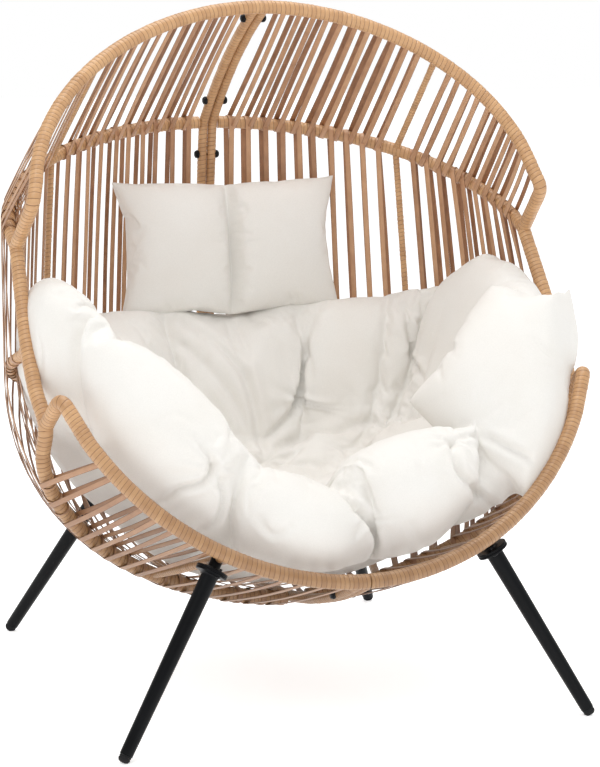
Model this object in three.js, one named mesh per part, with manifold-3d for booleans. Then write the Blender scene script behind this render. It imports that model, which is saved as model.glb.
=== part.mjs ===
// An egg-shaped garden lounge chair: two mirrored half shells of wrapped steel tube and flat
// wicker slats, bolted together along a double spine, on four splayed legs with screw-in glides.
// Millimetres, +Z up, the seat opens towards -Y, and the origin is on the floor under the middle.
import * as THREE from 'three';
import { mergeVertices } from 'three/addons/utils/BufferGeometryUtils.js';
import Module from 'manifold-3d';

const wasm = await Module();
wasm.setup();

// Tubes, outside radius over the wicker wrapping.
const canopyHoopRadius = 14;
const lowerHoopRadius = 15;
const sideTubeRadius = 15;
const ringRadius = 13.5;
const lowerRingRadius = 11;
const ribRadius = 7;
const baseRibRadius = 9;
const spineRadius = 10;
const tubeSides = 10;
const thinSides = 8;
const gap = 0.35;
const copeGap = 1.2;

// The egg's hoops: half widths, heights and how square each superellipse is.
const openingBase = -688.7;
const openingSlope = 0.586;
const canopyHoop = { halfWidth: 540.6, middle: 1188.3, rise: 417.4, exponent: 1.906 };
const lowerHoop = { halfWidth: 586.5, middle: 960, drop: 591.3, exponent: 1.971 };
const midRing = { halfWidth: 557, middleY: 20, depth: 418, level: 930, tilt: 0.455, exponent: 1.954 };
const lowerRing = { halfWidth: 572, middleY: -60, depth: 485, level: 712, tilt: -0.36, exponent: 2 };
const mainHoop = { halfWidth: 567, level: 550, drop: 354, exponent: 1.8, baseY: -74.5, lean: -0.25 };
const frontSlant = 1.05;
const ringOverrun = 0.035;
const lowerRingOverrun = 0.105;
const canopyHoopTip = 0.0005;
const canopyHoopEnd = 0.93;
const lowerRingEnd = 0.97;
const armTipAngle = 0.49;
const armTipDrop = 0.31;
const armTipX = 556;
const eggCentre = new THREE.Vector3(0, -40, 740);

// Legs and feet.
const footLevel = 2;
const frontFoot = new THREE.Vector3(495, -493, footLevel);
const backFoot = new THREE.Vector3(431, 506, footLevel);
const legLength = 385;
const legTopRadius = 17;
const legFootRadius = 13;
const flangeRadius = 32;
const flangeThickness = 5;
const legScrewSpread = 23;
const stubRadius = 12;
const legFacets = 16;
const plateFacets = 14;
const glideFacets = 10;
const glideHeadLength = 14;
const glideStemRadius = 5;
const glideStemLength = 26;
const glideBoreSlack = 2;
const floorTool = { width: 4000, depth: 100 };

// Slats: flat wicker strips between the tubes.
const slatWidth = 12;
const slatThickness = 3;
const bindingWidth = 7;
const bindingThickness = 6;
const ribClearance = 0.028;

const wicker = { color: 0xb98550, roughness: 0.55, metalness: 0 };
const wickerLight = { color: 0xcf9f62, roughness: 0.5, metalness: 0 };
const blackSteel = { color: 0x17181b, roughness: 0.4, metalness: 0.6 };
const blackPlastic = { color: 0x101012, roughness: 0.6, metalness: 0 };
const fabric = { color: 0xf1ece2, roughness: 0.95, metalness: 0 };

const model = new THREE.Group();

function addPart(name, geometry, finish) {
  const mesh = new THREE.Mesh(geometry, new THREE.MeshStandardMaterial(finish));
  mesh.name = name;
  model.add(mesh);
}

// ---- Closed meshes and booleans -----------------------------------------------------------

function toSolid(geometry) {
  const bare = geometry.clone();
  bare.deleteAttribute('normal');
  bare.deleteAttribute('uv');
  const merged = mergeVertices(bare, 1e-4);
  const vertProperties = new Float32Array(merged.attributes.position.array);
  const triVerts = new Uint32Array(merged.index.array);
  return new wasm.Manifold(new wasm.Mesh({ numProp: 3, vertProperties, triVerts }));
}

function toGeometry(solid) {
  const mesh = solid.getMesh();
  const geometry = new THREE.BufferGeometry();
  geometry.setAttribute('position', new THREE.BufferAttribute(mesh.vertProperties, 3));
  geometry.setIndex(new THREE.BufferAttribute(mesh.triVerts, 1));
  return geometry;
}

function cut(geometry, tools) {
  let solid = toSolid(geometry);
  for (const tool of tools) {
    solid = solid.subtract(toSolid(tool));
  }
  return toGeometry(solid);
}

function join(pieces) {
  let solid = toSolid(pieces[0]);
  for (const piece of pieces.slice(1)) {
    solid = solid.add(toSolid(piece));
  }
  return toGeometry(solid);
}

// A curve through a list of stations, which an extrusion steps through one by one.
class StationCurve extends THREE.Curve {
  constructor(stations) {
    super();
    this.stations = stations;
  }

  getPoint(t) {
    const last = this.stations.length - 1;
    const place = Math.min(Math.max(t, 0), 1) * last;
    const index = Math.min(Math.floor(place), last - 1);
    return this.stations[index].clone().lerp(this.stations[index + 1], place - index);
  }

  getPointAt(t) {
    return this.getPoint(t);
  }

  getTangentAt(t) {
    const reach = 0.5 / (this.stations.length - 1);
    const ahead = this.getPoint(t + reach);
    return ahead.sub(this.getPoint(t - reach)).normalize();
  }
}

function tube(stations, radius, sides = tubeSides) {
  const section = new THREE.Shape();
  for (let side = 0; side < sides; side += 1) {
    const angle = (side * 2 * Math.PI) / sides;
    const x = radius * Math.cos(angle);
    const y = radius * Math.sin(angle);
    if (side === 0) {
      section.moveTo(x, y);
    } else {
      section.lineTo(x, y);
    }
  }
  const steps = stations.length - 1;
  return new THREE.ExtrudeGeometry(section, { steps, extrudePath: new StationCurve(stations) });
}

// A flat strip through stations, each with its direction across the strip and its face normal.
function strip(stations, width, thickness) {
  const positions = [];
  const index = [];
  for (const { point, across, normal } of stations) {
    for (const [a, n] of [[-1, -1], [1, -1], [1, 1], [-1, 1]]) {
      const corner = point.clone();
      corner.addScaledVector(across, (a * width) / 2);
      corner.addScaledVector(normal, (n * thickness) / 2);
      positions.push(corner.x, corner.y, corner.z);
    }
  }
  const last = (stations.length - 1) * 4;
  for (let start = 0; start < last; start += 4) {
    for (let side = 0; side < 4; side += 1) {
      const a = start + side;
      const b = start + ((side + 1) % 4);
      index.push(a, b, b + 4, a, b + 4, a + 4);
    }
  }
  index.push(0, 2, 1, 0, 3, 2);
  index.push(last, last + 1, last + 2, last, last + 2, last + 3);
  const geometry = new THREE.BufferGeometry();
  geometry.setAttribute('position', new THREE.Float32BufferAttribute(positions, 3));
  geometry.setIndex(index);
  return faceOut(geometry);
}

// Turns every triangle over when the mesh encloses a negative volume.
function faceOut(geometry) {
  const place = geometry.attributes.position;
  const index = geometry.index.array;
  const a = new THREE.Vector3();
  const b = new THREE.Vector3();
  const c = new THREE.Vector3();
  let volume = 0;
  for (let i = 0; i < index.length; i += 3) {
    a.fromBufferAttribute(place, index[i]);
    b.fromBufferAttribute(place, index[i + 1]);
    c.fromBufferAttribute(place, index[i + 2]);
    volume += a.dot(b.cross(c));
  }
  if (volume < 0) {
    for (let i = 0; i < index.length; i += 3) {
      [index[i], index[i + 1]] = [index[i + 1], index[i]];
    }
  }
  return geometry;
}

// ---- The egg's curves: u is 0 at the spine and 1 at the chair's side ------------------------

const squircle = (value, exponent) => Math.sign(value) * Math.abs(value) ** (2 / exponent);

// A point of the slanted opening plane, at a distance up the plane from the floor line.
function openingPoint(x, upPlane) {
  const z = upPlane / Math.hypot(1, openingSlope);
  return new THREE.Vector3(x, openingBase + openingSlope * z, z);
}

function canopyHoopAt(u) {
  const angle = (1 - u) * Math.PI / 2;
  const x = canopyHoop.halfWidth * squircle(Math.cos(angle), canopyHoop.exponent);
  const rise = canopyHoop.rise * squircle(Math.sin(angle), canopyHoop.exponent);
  return openingPoint(x, canopyHoop.middle + rise);
}

function lowerHoopAngle(angle) {
  const x = lowerHoop.halfWidth * squircle(Math.cos(angle), lowerHoop.exponent);
  const drop = lowerHoop.drop * squircle(Math.sin(angle), lowerHoop.exponent);
  return openingPoint(x, lowerHoop.middle - drop);
}

const lowerHoopAt = (u) => lowerHoopAngle(Math.PI / 2 - u * (Math.PI / 2 - armTipAngle));

function ringAt(ring, overrun, u) {
  const angle = Math.PI / 2 - u * (Math.PI / 2 + overrun);
  const x = ring.halfWidth * squircle(Math.cos(angle), ring.exponent);
  const back = ring.depth * squircle(Math.sin(angle), ring.exponent);
  return new THREE.Vector3(x, ring.middleY + back, ring.level + ring.tilt * back);
}

const midRingAt = (u) => ringAt(midRing, ringOverrun, u);
const lowerRingAt = (u) => ringAt(lowerRing, lowerRingOverrun, u);

function mainHoopAt(u) {
  const angle = (1 - u) * Math.PI / 2;
  const x = mainHoop.halfWidth * squircle(Math.cos(angle), mainHoop.exponent);
  const z = mainHoop.level - mainHoop.drop * squircle(Math.sin(angle), mainHoop.exponent);
  return new THREE.Vector3(x, mainHoop.baseY + mainHoop.lean * z, z);
}

// The front's slats slant: on the main hoop they stand nearer the spine than on the lower hoop.
const frontFootAt = (u) => mainHoopAt(u - frontSlant * u ** 3 * (1 - u));

// The woven faces between the tubes. Each bulges out by a share of its own chord, which changes
// evenly from the spine to the side. The spine has a bulge of its own.
const faces = {
  canopy: { from: canopyHoopAt, to: midRingAt, fromRadius: canopyHoopRadius, toRadius: ringRadius,
    spineBulge: 0.05, bulge: 0.006, sideBulge: 0.006, steps: 1 },
  back: { from: midRingAt, to: lowerRingAt, fromRadius: ringRadius, toRadius: lowerRingRadius,
    spineBulge: 0.03, bulge: 0.004, sideBulge: 0.004, steps: 1 },
  bowl: { from: lowerRingAt, to: mainHoopAt, fromRadius: lowerRingRadius, toRadius: sideTubeRadius,
    spineBulge: 0.25, bulge: 0.25, sideBulge: 0.02, steps: 4 },
  front: { from: lowerHoopAt, to: frontFootAt, fromRadius: lowerHoopRadius,
    toRadius: sideTubeRadius, spineBulge: 0.04, bulge: 0.014, sideBulge: 0.01, steps: 1 },
};

function facePoint(face, u, v, onSpine = false) {
  const start = face.from(u);
  const chord = face.to(u).sub(start);
  const length = chord.length();
  const middle = start.clone().addScaledVector(chord, 0.5);
  const outward = middle.sub(eggCentre);
  chord.normalize();
  outward.addScaledVector(chord, -outward.dot(chord)).normalize();
  const point = start.addScaledVector(chord, v * length);
  const bulge = onSpine ? face.spineBulge : THREE.MathUtils.lerp(face.bulge, face.sideBulge, u);
  return point.addScaledVector(outward, 4 * v * (1 - v) * bulge * length);
}

const mirrored = (point, side) => new THREE.Vector3(point.x * side, point.y, point.z);

// Stations along a function of u or v, mirrored to one side of the chair.
function stationsOf(place, from, to, steps, side) {
  const stations = [];
  for (let step = 0; step <= steps; step += 1) {
    stations.push(mirrored(place(from + ((to - from) * step) / steps), side));
  }
  return stations;
}

// The value of u at which a tube that starts at the spine reaches a distance from the middle.
function leaveSpine(place, distance) {
  let low = 0;
  let high = 0.5;
  for (let halving = 0; halving < 30; halving += 1) {
    const middle = (low + high) / 2;
    if (place(middle).x < distance) {
      low = middle;
    } else {
      high = middle;
    }
  }
  return high;
}

// Stations of a rounded corner between two straight runs.
function corner(before, turn, after, radius, steps) {
  const start = turn.clone().add(before.clone().sub(turn).setLength(radius));
  const end = turn.clone().add(after.clone().sub(turn).setLength(radius));
  const bend = new THREE.QuadraticBezierCurve3(start, turn, end);
  return bend.getPoints(steps);
}

// ---- Frame tubes -----------------------------------------------------------------------------

const spineEdge = 2 * spineRadius + 2 * copeGap;
const spineOffset = spineRadius + gap;
const shoulder = openingPoint(550, 1182);
const neck = new THREE.Vector3(557, 5, 923);
const sideBend = new THREE.Vector3(571, -118, 745);
const sideLow = new THREE.Vector3(572, -178, 666);
const armElbow = new THREE.Vector3(566, -226, 604);
const shoulderBend = 20;
const armBend = 22;

// One run of tube down the chair's side: shoulder bend, neck, side tube and the main hoop's top.
function rimStations(side) {
  const upper = stationsOf(canopyHoopAt, canopyHoopTip, canopyHoopEnd, 20, side);
  const bend = corner(canopyHoopAt(canopyHoopEnd), shoulder, neck, shoulderBend, 5);
  const lowerRun = new THREE.CatmullRomCurve3([neck, sideBend, sideLow, armElbow, mainHoopAt(1)]);
  const down = lowerRun.getPoints(10).map((point) => mirrored(point, side));
  return { upper: [...upper, ...bend.map((point) => mirrored(point, side))], down };
}

// The two halves of the canopy hoop keep a gap between them at the top.
function canopyStations(side) {
  const { upper, down } = rimStations(side);
  const apart = new THREE.Vector3(gap * side, 0, 0);
  return [...upper.map((point) => point.clone().add(apart)), down[0]];
}

function canopyHoopGeometry(side) {
  return cut(tube(canopyStations(side), canopyHoopRadius), [sideTool(side)]);
}

function sideTubeGeometry(side) {
  return tube(rimStations(side).down, sideTubeRadius);
}

function mainHoopGeometry(side) {
  const start = leaveSpine(mainHoopAt, spineEdge);
  return cut(tube(stationsOf(mainHoopAt, start, 1, 14, side), sideTubeRadius), [sideTool(side)]);
}

// The lower hoop runs from the side tube round the arm tip and down to the middle.
function lowerHoopGeometry(side) {
  const tip = openingPoint(armTipX, lowerHoop.middle - lowerHoop.drop * armTipDrop);
  const first = lowerHoopAngle(armTipAngle);
  const bend = corner(armElbow, tip, first, armBend, 4);
  const stations = [armElbow, ...bend, first];
  const steps = 15;
  const end = Math.PI / 2;
  for (let step = 1; step <= steps; step += 1) {
    const angle = armTipAngle + ((end - armTipAngle) * step) / steps;
    const point = lowerHoopAngle(angle);
    point.x = Math.max(point.x, copeGap);
    stations.push(point);
  }
  const geometry = tube(stations.map((point) => mirrored(point, side)), lowerHoopRadius);
  return cut(geometry, sideTools(side));
}

// Slightly fat copies of tubes, which cut their neighbours' ends to a coped joint with a gap.
function sideTools(side) {
  const overlap = stationsOf(mainHoopAt, 1, 0.8, 3, side);
  return [sideTool(side), tube(overlap, sideTubeRadius + gap)];
}

// The side tube's own fat copy runs a gap past both of its ends.
function sideTool(side) {
  const run = rimStations(side).down;
  const last = run.length - 1;
  const top = run[0].clone().add(run[0].clone().sub(run[1]).setLength(gap));
  const low = run[last].clone().add(run[last].clone().sub(run[last - 1]).setLength(gap));
  return tube([top, ...run.slice(1, last), low], sideTubeRadius + gap);
}

function hoopTool(place, radius, side, from = 0.02, to = 1) {
  return tube(stationsOf(place, from, to, 16, side), radius + copeGap);
}

function canopyTool(side) {
  return tube(canopyStations(side), canopyHoopRadius + copeGap);
}

function midRingGeometry(side) {
  const start = leaveSpine(midRingAt, spineEdge);
  const ring = tube(stationsOf(midRingAt, start, 1, 16, side), ringRadius);
  return cut(ring, [...sideTools(side), canopyTool(side)]);
}

function lowerRingGeometry(side) {
  const start = leaveSpine(lowerRingAt, spineEdge);
  const stations = stationsOf(lowerRingAt, start, lowerRingEnd, 14, side);
  stations.push(mirrored(sideBend, side));
  return cut(tube(stations, lowerRingRadius), sideTools(side));
}

// A rib or base rib follows one u of a woven face, between the tubes at its two ends.
function ribGeometry(face, u, side, radius, tools) {
  const stations = stationsOf((v) => facePoint(face, u, v), 0, 1, 6, side);
  return cut(tube(stations, radius, thinSides), tools);
}

const ribU = 0.49;
const frontBaseU = 0.46;
const backBaseU = 0.23;
const midRingTool = (side) => hoopTool(midRingAt, ringRadius, side);
const lowerRingTool = (side) => hoopTool(lowerRingAt, lowerRingRadius, side);
const mainHoopTool = (side) => hoopTool(mainHoopAt, sideTubeRadius, side);
const lowerHoopTool = (side) => hoopTool(lowerHoopAt, lowerHoopRadius, side);

// The double spine follows u = 0 round the whole egg, from the top to the front lip.
function spineGeometry(side) {
  const stations = [];
  const runs = [[faces.canopy, 0, 1, 5], [faces.back, 0, 1, 3], [faces.bowl, 0, 1, 9],
    [faces.front, 1, 0, 4]];
  for (const [face, from, to, steps] of runs) {
    const run = stationsOf((v) => facePoint(face, 0, v, true), from, to, steps, 1);
    stations.push(...(stations.length ? run.slice(1) : run));
  }
  const shifted = stations.map((point) => new THREE.Vector3(spineOffset * side, point.y, point.z));
  const topTool = crossTube(canopyHoopAt(0), canopyHoopRadius, copeGap);
  const lipTool = crossTube(lowerHoopAt(0), lowerHoopRadius, copeGap);
  const holes = spineBoltPlaces.map((bolt) => crossTube(spinePoint(bolt), spineBoltRadius, gap));
  return cut(tube(shifted, spineRadius, thinSides), [topTool, lipTool, ...holes]);
}

const crossReach = 60;

// A tube straight across the middle plane, which stands for both halves of a hoop there.
function crossTube(middle, radius, clearance) {
  const reach = new THREE.Vector3(crossReach, 0, 0);
  return tube([middle.clone().sub(reach), middle, middle.clone().add(reach)], radius + clearance);
}

// ---- Spine bolts: a black bolt and cap nut through both spine tubes ------------------------------

const spineBoltRadius = 3;
const spineBoltHead = 7;
const spineBoltHeadHeight = 5;
const spineBoltPlaces = [
  { name: 'spine_bolt_top', face: faces.canopy, v: 0.12 },
  { name: 'spine_bolt_upper', face: faces.canopy, v: 0.84 },
  { name: 'spine_bolt_middle', face: faces.back, v: 0.12 },
  { name: 'spine_bolt_bottom', face: faces.front, v: 0.35 },
];

function spinePoint({ face, v }) {
  return facePoint(face, 0, v, true);
}

function spineBoltGeometry() {
  const reach = spineEdge + gap;
  const profile = [
    [0, -reach - spineBoltHeadHeight],
    [spineBoltHead * 0.7, -reach - spineBoltHeadHeight],
    [spineBoltHead, -reach - spineBoltHeadHeight * 0.5],
    [spineBoltHead, -reach],
    [spineBoltRadius, -reach],
    [spineBoltRadius, reach],
    [spineBoltHead, reach],
    [spineBoltHead, reach + spineBoltHeadHeight * 0.5],
    [spineBoltHead * 0.7, reach + spineBoltHeadHeight],
    [0, reach + spineBoltHeadHeight],
  ];
  return lathe(profile, tubeSides);
}

function lathe(profile, sides) {
  return new THREE.LatheGeometry(profile.map(([x, y]) => new THREE.Vector2(x, y)), sides);
}

// ---- Legs ---------------------------------------------------------------------------------------

// Turns a geometry made along +Y, measured from the origin, to run along an axis from a point.
function placeAlong(geometry, point, axis) {
  const turn = new THREE.Quaternion().setFromUnitVectors(new THREE.Vector3(0, 1, 0), axis);
  return geometry.applyQuaternion(turn).translate(point.x, point.y, point.z);
}

const corners = [
  { name: 'front_right', side: 1, face: faces.front, u: frontBaseU, v: 0.13, foot: frontFoot },
  { name: 'front_left', side: -1, face: faces.front, u: frontBaseU, v: 0.13, foot: frontFoot },
  { name: 'back_right', side: 1, face: faces.bowl, u: backBaseU, v: 0.24, foot: backFoot },
  { name: 'back_left', side: -1, face: faces.bowl, u: backBaseU, v: 0.24, foot: backFoot },
];

// Where a leg's stub leaves its base rib, the leg's axis, and the stub's length.
function legPlace({ side, face, u, v, foot }) {
  const start = mirrored(facePoint(face, u, v), side);
  const end = mirrored(foot, side);
  const axis = end.clone().sub(start);
  const reach = axis.length();
  axis.normalize();
  // The glide's round rim touches the floor, so its centre stops short of the foot point.
  const stub = reach - legLength - glideHeadLength - flangeThickness - 2 * gap;
  return { start, axis, stub };
}

// Two screw places on the flange, level with each other.
function screwPlaces(axis) {
  const level = new THREE.Vector3(0, 0, 1).cross(axis).setLength(legScrewSpread);
  return [level.clone(), level.clone().negate()];
}

const legScrewRadius = 2.6;
const legScrewHead = 5;
const legScrewHeadHeight = 3.5;
const legScrewTip = 6;
const screwHoleLength = 30;

function screwHole(point, axis) {
  const radius = legScrewRadius + gap;
  const hole = new THREE.CylinderGeometry(radius, radius, screwHoleLength, thinSides);
  return placeAlong(hole, point, axis);
}

function baseRibGeometry(place, tools) {
  const { start, axis, stub } = legPlace(place);
  const stations = stationsOf((v) => facePoint(place.face, place.u, v), 0, 1, 6, place.side);
  const rib = cut(tube(stations, baseRibRadius, thinSides), tools);
  const stubProfile = [[0, 0], [stubRadius, 0], [stubRadius, stub], [flangeRadius, stub],
    [flangeRadius, stub + flangeThickness], [0, stub + flangeThickness]];
  const plate = placeAlong(lathe(stubProfile, plateFacets), start, axis);
  const plateEnd = start.clone().addScaledVector(axis, stub + flangeThickness);
  const holes = screwPlaces(axis).map((offset) => screwHole(plateEnd.clone().add(offset), axis));
  return cut(join([rib, plate]), holes);
}

function legStart({ start, axis, stub }) {
  return start.clone().addScaledVector(axis, stub + flangeThickness + gap);
}

function legGeometry(place) {
  const { start, axis, stub } = legPlace(place);
  const point = legStart({ start, axis, stub });
  const boreRadius = glideStemRadius + gap;
  const boreEnd = legLength - glideStemLength - glideBoreSlack;
  const profile = [[0, 0], [flangeRadius, 0], [flangeRadius, flangeThickness],
    [legTopRadius, flangeThickness], [legFootRadius, legLength], [boreRadius, legLength],
    [boreRadius, boreEnd], [0, boreEnd]];
  const leg = placeAlong(lathe(profile, legFacets), point, axis);
  const holes = screwPlaces(axis).map((offset) => screwHole(point.clone().add(offset), axis));
  return cut(leg, holes);
}

function glideGeometry(place) {
  const { start, axis, stub } = legPlace(place);
  const point = legStart({ start, axis, stub }).addScaledVector(axis, legLength + gap);
  const radius = legFootRadius * 0.92;
  const profile = [[0, -glideStemLength], [glideStemRadius, -glideStemLength],
    [glideStemRadius, 0], [radius, 0], [radius, glideHeadLength * 0.5],
    [radius * 0.8, glideHeadLength * 0.86], [radius * 0.4, glideHeadLength],
    [0, glideHeadLength]];
  const glide = placeAlong(lathe(profile, glideFacets), point, axis);
  const { width, depth } = floorTool;
  const floor = new THREE.BoxGeometry(width, width, depth).translate(0, 0, -depth / 2);
  return cut(glide, [floor]);
}

function legScrewGeometry(place, offset) {
  const { start, axis, stub } = legPlace(place);
  const point = legStart({ start, axis, stub }).add(offset);
  const low = flangeThickness + gap;
  const profile = [[0, -flangeThickness - legScrewTip], [legScrewRadius, -flangeThickness - legScrewTip],
    [legScrewRadius, low], [legScrewHead, low], [legScrewHead, low + legScrewHeadHeight * 0.6],
    [legScrewHead * 0.6, low + legScrewHeadHeight], [0, low + legScrewHeadHeight]];
  return placeAlong(lathe(profile, thinSides), point, axis);
}

// ---- Woven slat panels ------------------------------------------------------------------------------

// The share of a slat's length at which it is clear of the tube that it starts from.
function clearOf(face, u, place, from, direction, distance) {
  let v = from;
  for (let step = 0; step < 200; step += 1) {
    const point = facePoint(face, u, v);
    let nearest = Infinity;
    for (let near = -30; near <= 30; near += 1) {
      const other = place(Math.min(Math.max(u + near * 0.01, 0), 1));
      nearest = Math.min(nearest, point.distanceTo(other));
    }
    if (nearest >= distance) {
      break;
    }
    v += direction * 0.005;
  }
  return v;
}

// A point of a face with the direction across it, along u, and its normal.
function faceStation(face, u, v, side) {
  const point = facePoint(face, u, v);
  const alongU = facePoint(face, u + 0.002, v).sub(facePoint(face, u - 0.002, v)).normalize();
  const alongV = facePoint(face, u, v + 0.002).sub(facePoint(face, u, v - 0.002)).normalize();
  const normal = alongU.clone().cross(alongV).normalize();
  const across = alongV.clone().cross(normal).normalize();
  return { point: mirrored(point, side), across: mirrored(across, side),
    alongV: mirrored(alongV, side), normal: mirrored(normal, side) };
}

// Slats at even steps of u, joined at both ends by a binding strip beside each tube.
function panelGeometry(face, fromU, toU, count, side) {
  const pieces = [];
  const ends = [];
  const rows = Math.max(3, Math.ceil((toU - fromU) * 10));
  for (let row = 0; row <= rows; row += 1) {
    const u = fromU + ((toU - fromU) * row) / rows;
    const start = clearOf(face, u, face.from, 0, 1, face.fromRadius + bindingWidth / 2 + 1);
    const end = clearOf(face, u, face.to, 1, -1, face.toRadius + bindingWidth / 2 + 1);
    ends.push({ u, start, end });
  }
  for (const key of ['start', 'end']) {
    const binding = ends.map((row) => {
      const { point, alongV, normal } = faceStation(face, row.u, row[key], side);
      return { point, across: alongV, normal };
    });
    pieces.push(strip(binding, bindingWidth, bindingThickness));
  }
  for (let slat = 0; slat < count; slat += 1) {
    const share = (slat + 0.5) / count;
    const u = fromU + (toU - fromU) * share;
    const row = Math.min(Math.floor(share * rows), rows - 1);
    const within = share * rows - row;
    const start = THREE.MathUtils.lerp(ends[row].start, ends[row + 1].start, within);
    const end = THREE.MathUtils.lerp(ends[row].end, ends[row + 1].end, within);
    const stations = [];
    for (let step = 0; step <= face.steps; step += 1) {
      stations.push(faceStation(face, u, start + ((end - start) * step) / face.steps, side));
    }
    pieces.push(strip(stations, slatWidth, slatThickness));
  }
  return join(pieces);
}

const spineClearance = (face) => leaveSpine((u) => facePoint(face, u, 0.5), spineEdge + 14);

const panels = [
  { name: 'canopy_slats_rear', face: faces.canopy, split: ribU, inner: true, count: 11 },
  { name: 'canopy_slats_side', face: faces.canopy, split: ribU, end: 0.93, count: 11 },
  { name: 'back_slats_rear', face: faces.back, split: ribU, inner: true, count: 10 },
  { name: 'back_slats_side', face: faces.back, split: ribU, end: 0.95, count: 10 },
  { name: 'bowl_slats_rear', face: faces.bowl, split: backBaseU, inner: true, count: 3 },
  { name: 'bowl_slats_side', face: faces.bowl, split: backBaseU, end: 0.88, count: 12 },
  { name: 'front_slats_middle', face: faces.front, split: frontBaseU, inner: true, count: 6 },
  { name: 'front_slats_side', face: faces.front, split: frontBaseU, end: 0.96, count: 8 },
];

// ---- Soft parts --------------------------------------------------------------------------------------

// A nest cushion: a thick bowl between an outer half ellipsoid, upright above its middle, and a
// smaller one inside it.
const nestCentre = new THREE.Vector3(0, -40, 640);
const nest = { halfWidth: 528, front: 470, back: 375, depth: 405, hollow: 0.62 };
const nestRim = { side: 0.57, back: -0.02, front: -0.5 };

function seatCushionGeometry() {
  const columns = 20;
  const rows = 5;
  const rings = [];
  for (let row = 0; row <= 2 * rows + 2; row += 1) {
    const outside = row <= rows;
    const share = outside ? row / rows : (2 * rows + 2 - row) / (rows + 1);
    const scale = outside ? 1 : nest.hollow;
    const ring = [];
    for (let column = 0; column < columns; column += 1) {
      const turn = (column * 2 * Math.PI) / columns;
      const end = Math.sin(turn) > 0 ? nestRim.back : nestRim.front;
      const rim = nestRim.side * Math.cos(turn) ** 2 + end * Math.sin(turn) ** 2;
      const level = -Math.PI / 2 + share * (rim + Math.PI / 2);
      const halfDepth = Math.sin(turn) > 0 ? nest.back : nest.front;
      const flat = scale * Math.cos(Math.min(level, 0));
      ring.push(new THREE.Vector3(nest.halfWidth * flat * Math.cos(turn),
        halfDepth * flat * Math.sin(turn), nest.depth * scale * Math.sin(level)).add(nestCentre));
    }
    rings.push(ring);
  }
  return closedRings(rings);
}

// A closed surface through rings of points, whose first and last rings shrink to single points.
function closedRings(rings) {
  const columns = rings[0].length;
  const positions = [];
  const index = [];
  for (const ring of rings) {
    for (const point of ring) {
      positions.push(point.x, point.y, point.z);
    }
  }
  for (let row = 0; row < rings.length - 1; row += 1) {
    for (let column = 0; column < columns; column += 1) {
      const next = (column + 1) % columns;
      const a = row * columns + column;
      const b = row * columns + next;
      index.push(a, b, b + columns, a, b + columns, a + columns);
    }
  }
  const geometry = new THREE.BufferGeometry();
  geometry.setAttribute('position', new THREE.Float32BufferAttribute(positions, 3));
  geometry.setIndex(index);
  const merged = mergeVertices(geometry, 1e-3);
  return faceOut(dropFlat(merged));
}

// Leaves out the triangles that have two corners at the same vertex.
function dropFlat(geometry) {
  const kept = [];
  const index = geometry.index.array;
  for (let i = 0; i < index.length; i += 3) {
    const [a, b, c] = [index[i], index[i + 1], index[i + 2]];
    if (a !== b && b !== c && c !== a) {
      kept.push(a, b, c);
    }
  }
  geometry.setIndex(kept);
  return geometry;
}

const pillowCentre = new THREE.Vector3(0, 333, 872);
const pillowHalf = new THREE.Vector3(245, 48, 150);

function headPillowGeometry() {
  const columns = 16;
  const rows = 8;
  const rings = [];
  for (let row = 0; row <= rows; row += 1) {
    const level = -Math.PI / 2 + (row * Math.PI) / rows;
    const ring = [];
    for (let column = 0; column < columns; column += 1) {
      const turn = (column * 2 * Math.PI) / columns;
      const x = squircle(Math.cos(level) * Math.cos(turn), 5);
      const y = Math.cos(level) * Math.sin(turn);
      const z = squircle(Math.sin(level), 4);
      ring.push(new THREE.Vector3(x, y, z).multiply(pillowHalf).add(pillowCentre));
    }
    rings.push(ring);
  }
  return closedRings(rings);
}

// ---- Assembly ------------------------------------------------------------------------------------------

for (const [sideName, side] of [['left', -1], ['right', 1]]) {
  addPart(`canopy_hoop_${sideName}`, canopyHoopGeometry(side), wickerLight);
  addPart(`side_tube_${sideName}`, sideTubeGeometry(side), wickerLight);
  addPart(`main_hoop_${sideName}`, mainHoopGeometry(side), wicker);
  addPart(`lower_hoop_${sideName}`, lowerHoopGeometry(side), wickerLight);
  addPart(`mid_ring_${sideName}`, midRingGeometry(side), wicker);
  addPart(`lower_ring_${sideName}`, lowerRingGeometry(side), wicker);
  addPart(`spine_${sideName}`, spineGeometry(side), wickerLight);
  const canopyRibTools = [canopyTool(side), midRingTool(side)];
  addPart(`canopy_rib_${sideName}`, ribGeometry(faces.canopy, ribU, side, ribRadius,
    canopyRibTools), wicker);
  const backRibTools = [midRingTool(side), lowerRingTool(side)];
  addPart(`back_rib_${sideName}`, ribGeometry(faces.back, ribU, side, ribRadius,
    backRibTools), wicker);
  for (const { name, face, split, inner, end, count } of panels) {
    const from = inner ? spineClearance(face) : split + ribClearance;
    const to = inner ? split - ribClearance : end;
    addPart(`${name}_${sideName}`, panelGeometry(face, from, to, count, side), wicker);
  }
}

for (const place of corners) {
  const front = place.face === faces.front;
  const nearTool = front ? lowerHoopTool(place.side) : lowerRingTool(place.side);
  const name = front ? 'front_base_rib' : 'back_base_rib';
  const sideName = place.side > 0 ? 'right' : 'left';
  const tools = [nearTool, mainHoopTool(place.side)];
  addPart(`${name}_${sideName}`, baseRibGeometry(place, tools), blackSteel);
  addPart(`leg_${place.name}`, legGeometry(place), blackSteel);
  addPart(`glide_${place.name}`, glideGeometry(place), blackPlastic);
  const offsets = screwPlaces(legPlace(place).axis);
  offsets.forEach((offset, number) => {
    addPart(`leg_screw_${place.name}_${number + 1}`, legScrewGeometry(place, offset), blackSteel);
  });
}

for (const bolt of spineBoltPlaces) {
  const across = new THREE.Vector3(1, 0, 0);
  const geometry = placeAlong(spineBoltGeometry(), spinePoint(bolt), across);
  addPart(bolt.name, geometry, blackSteel);
}

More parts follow.
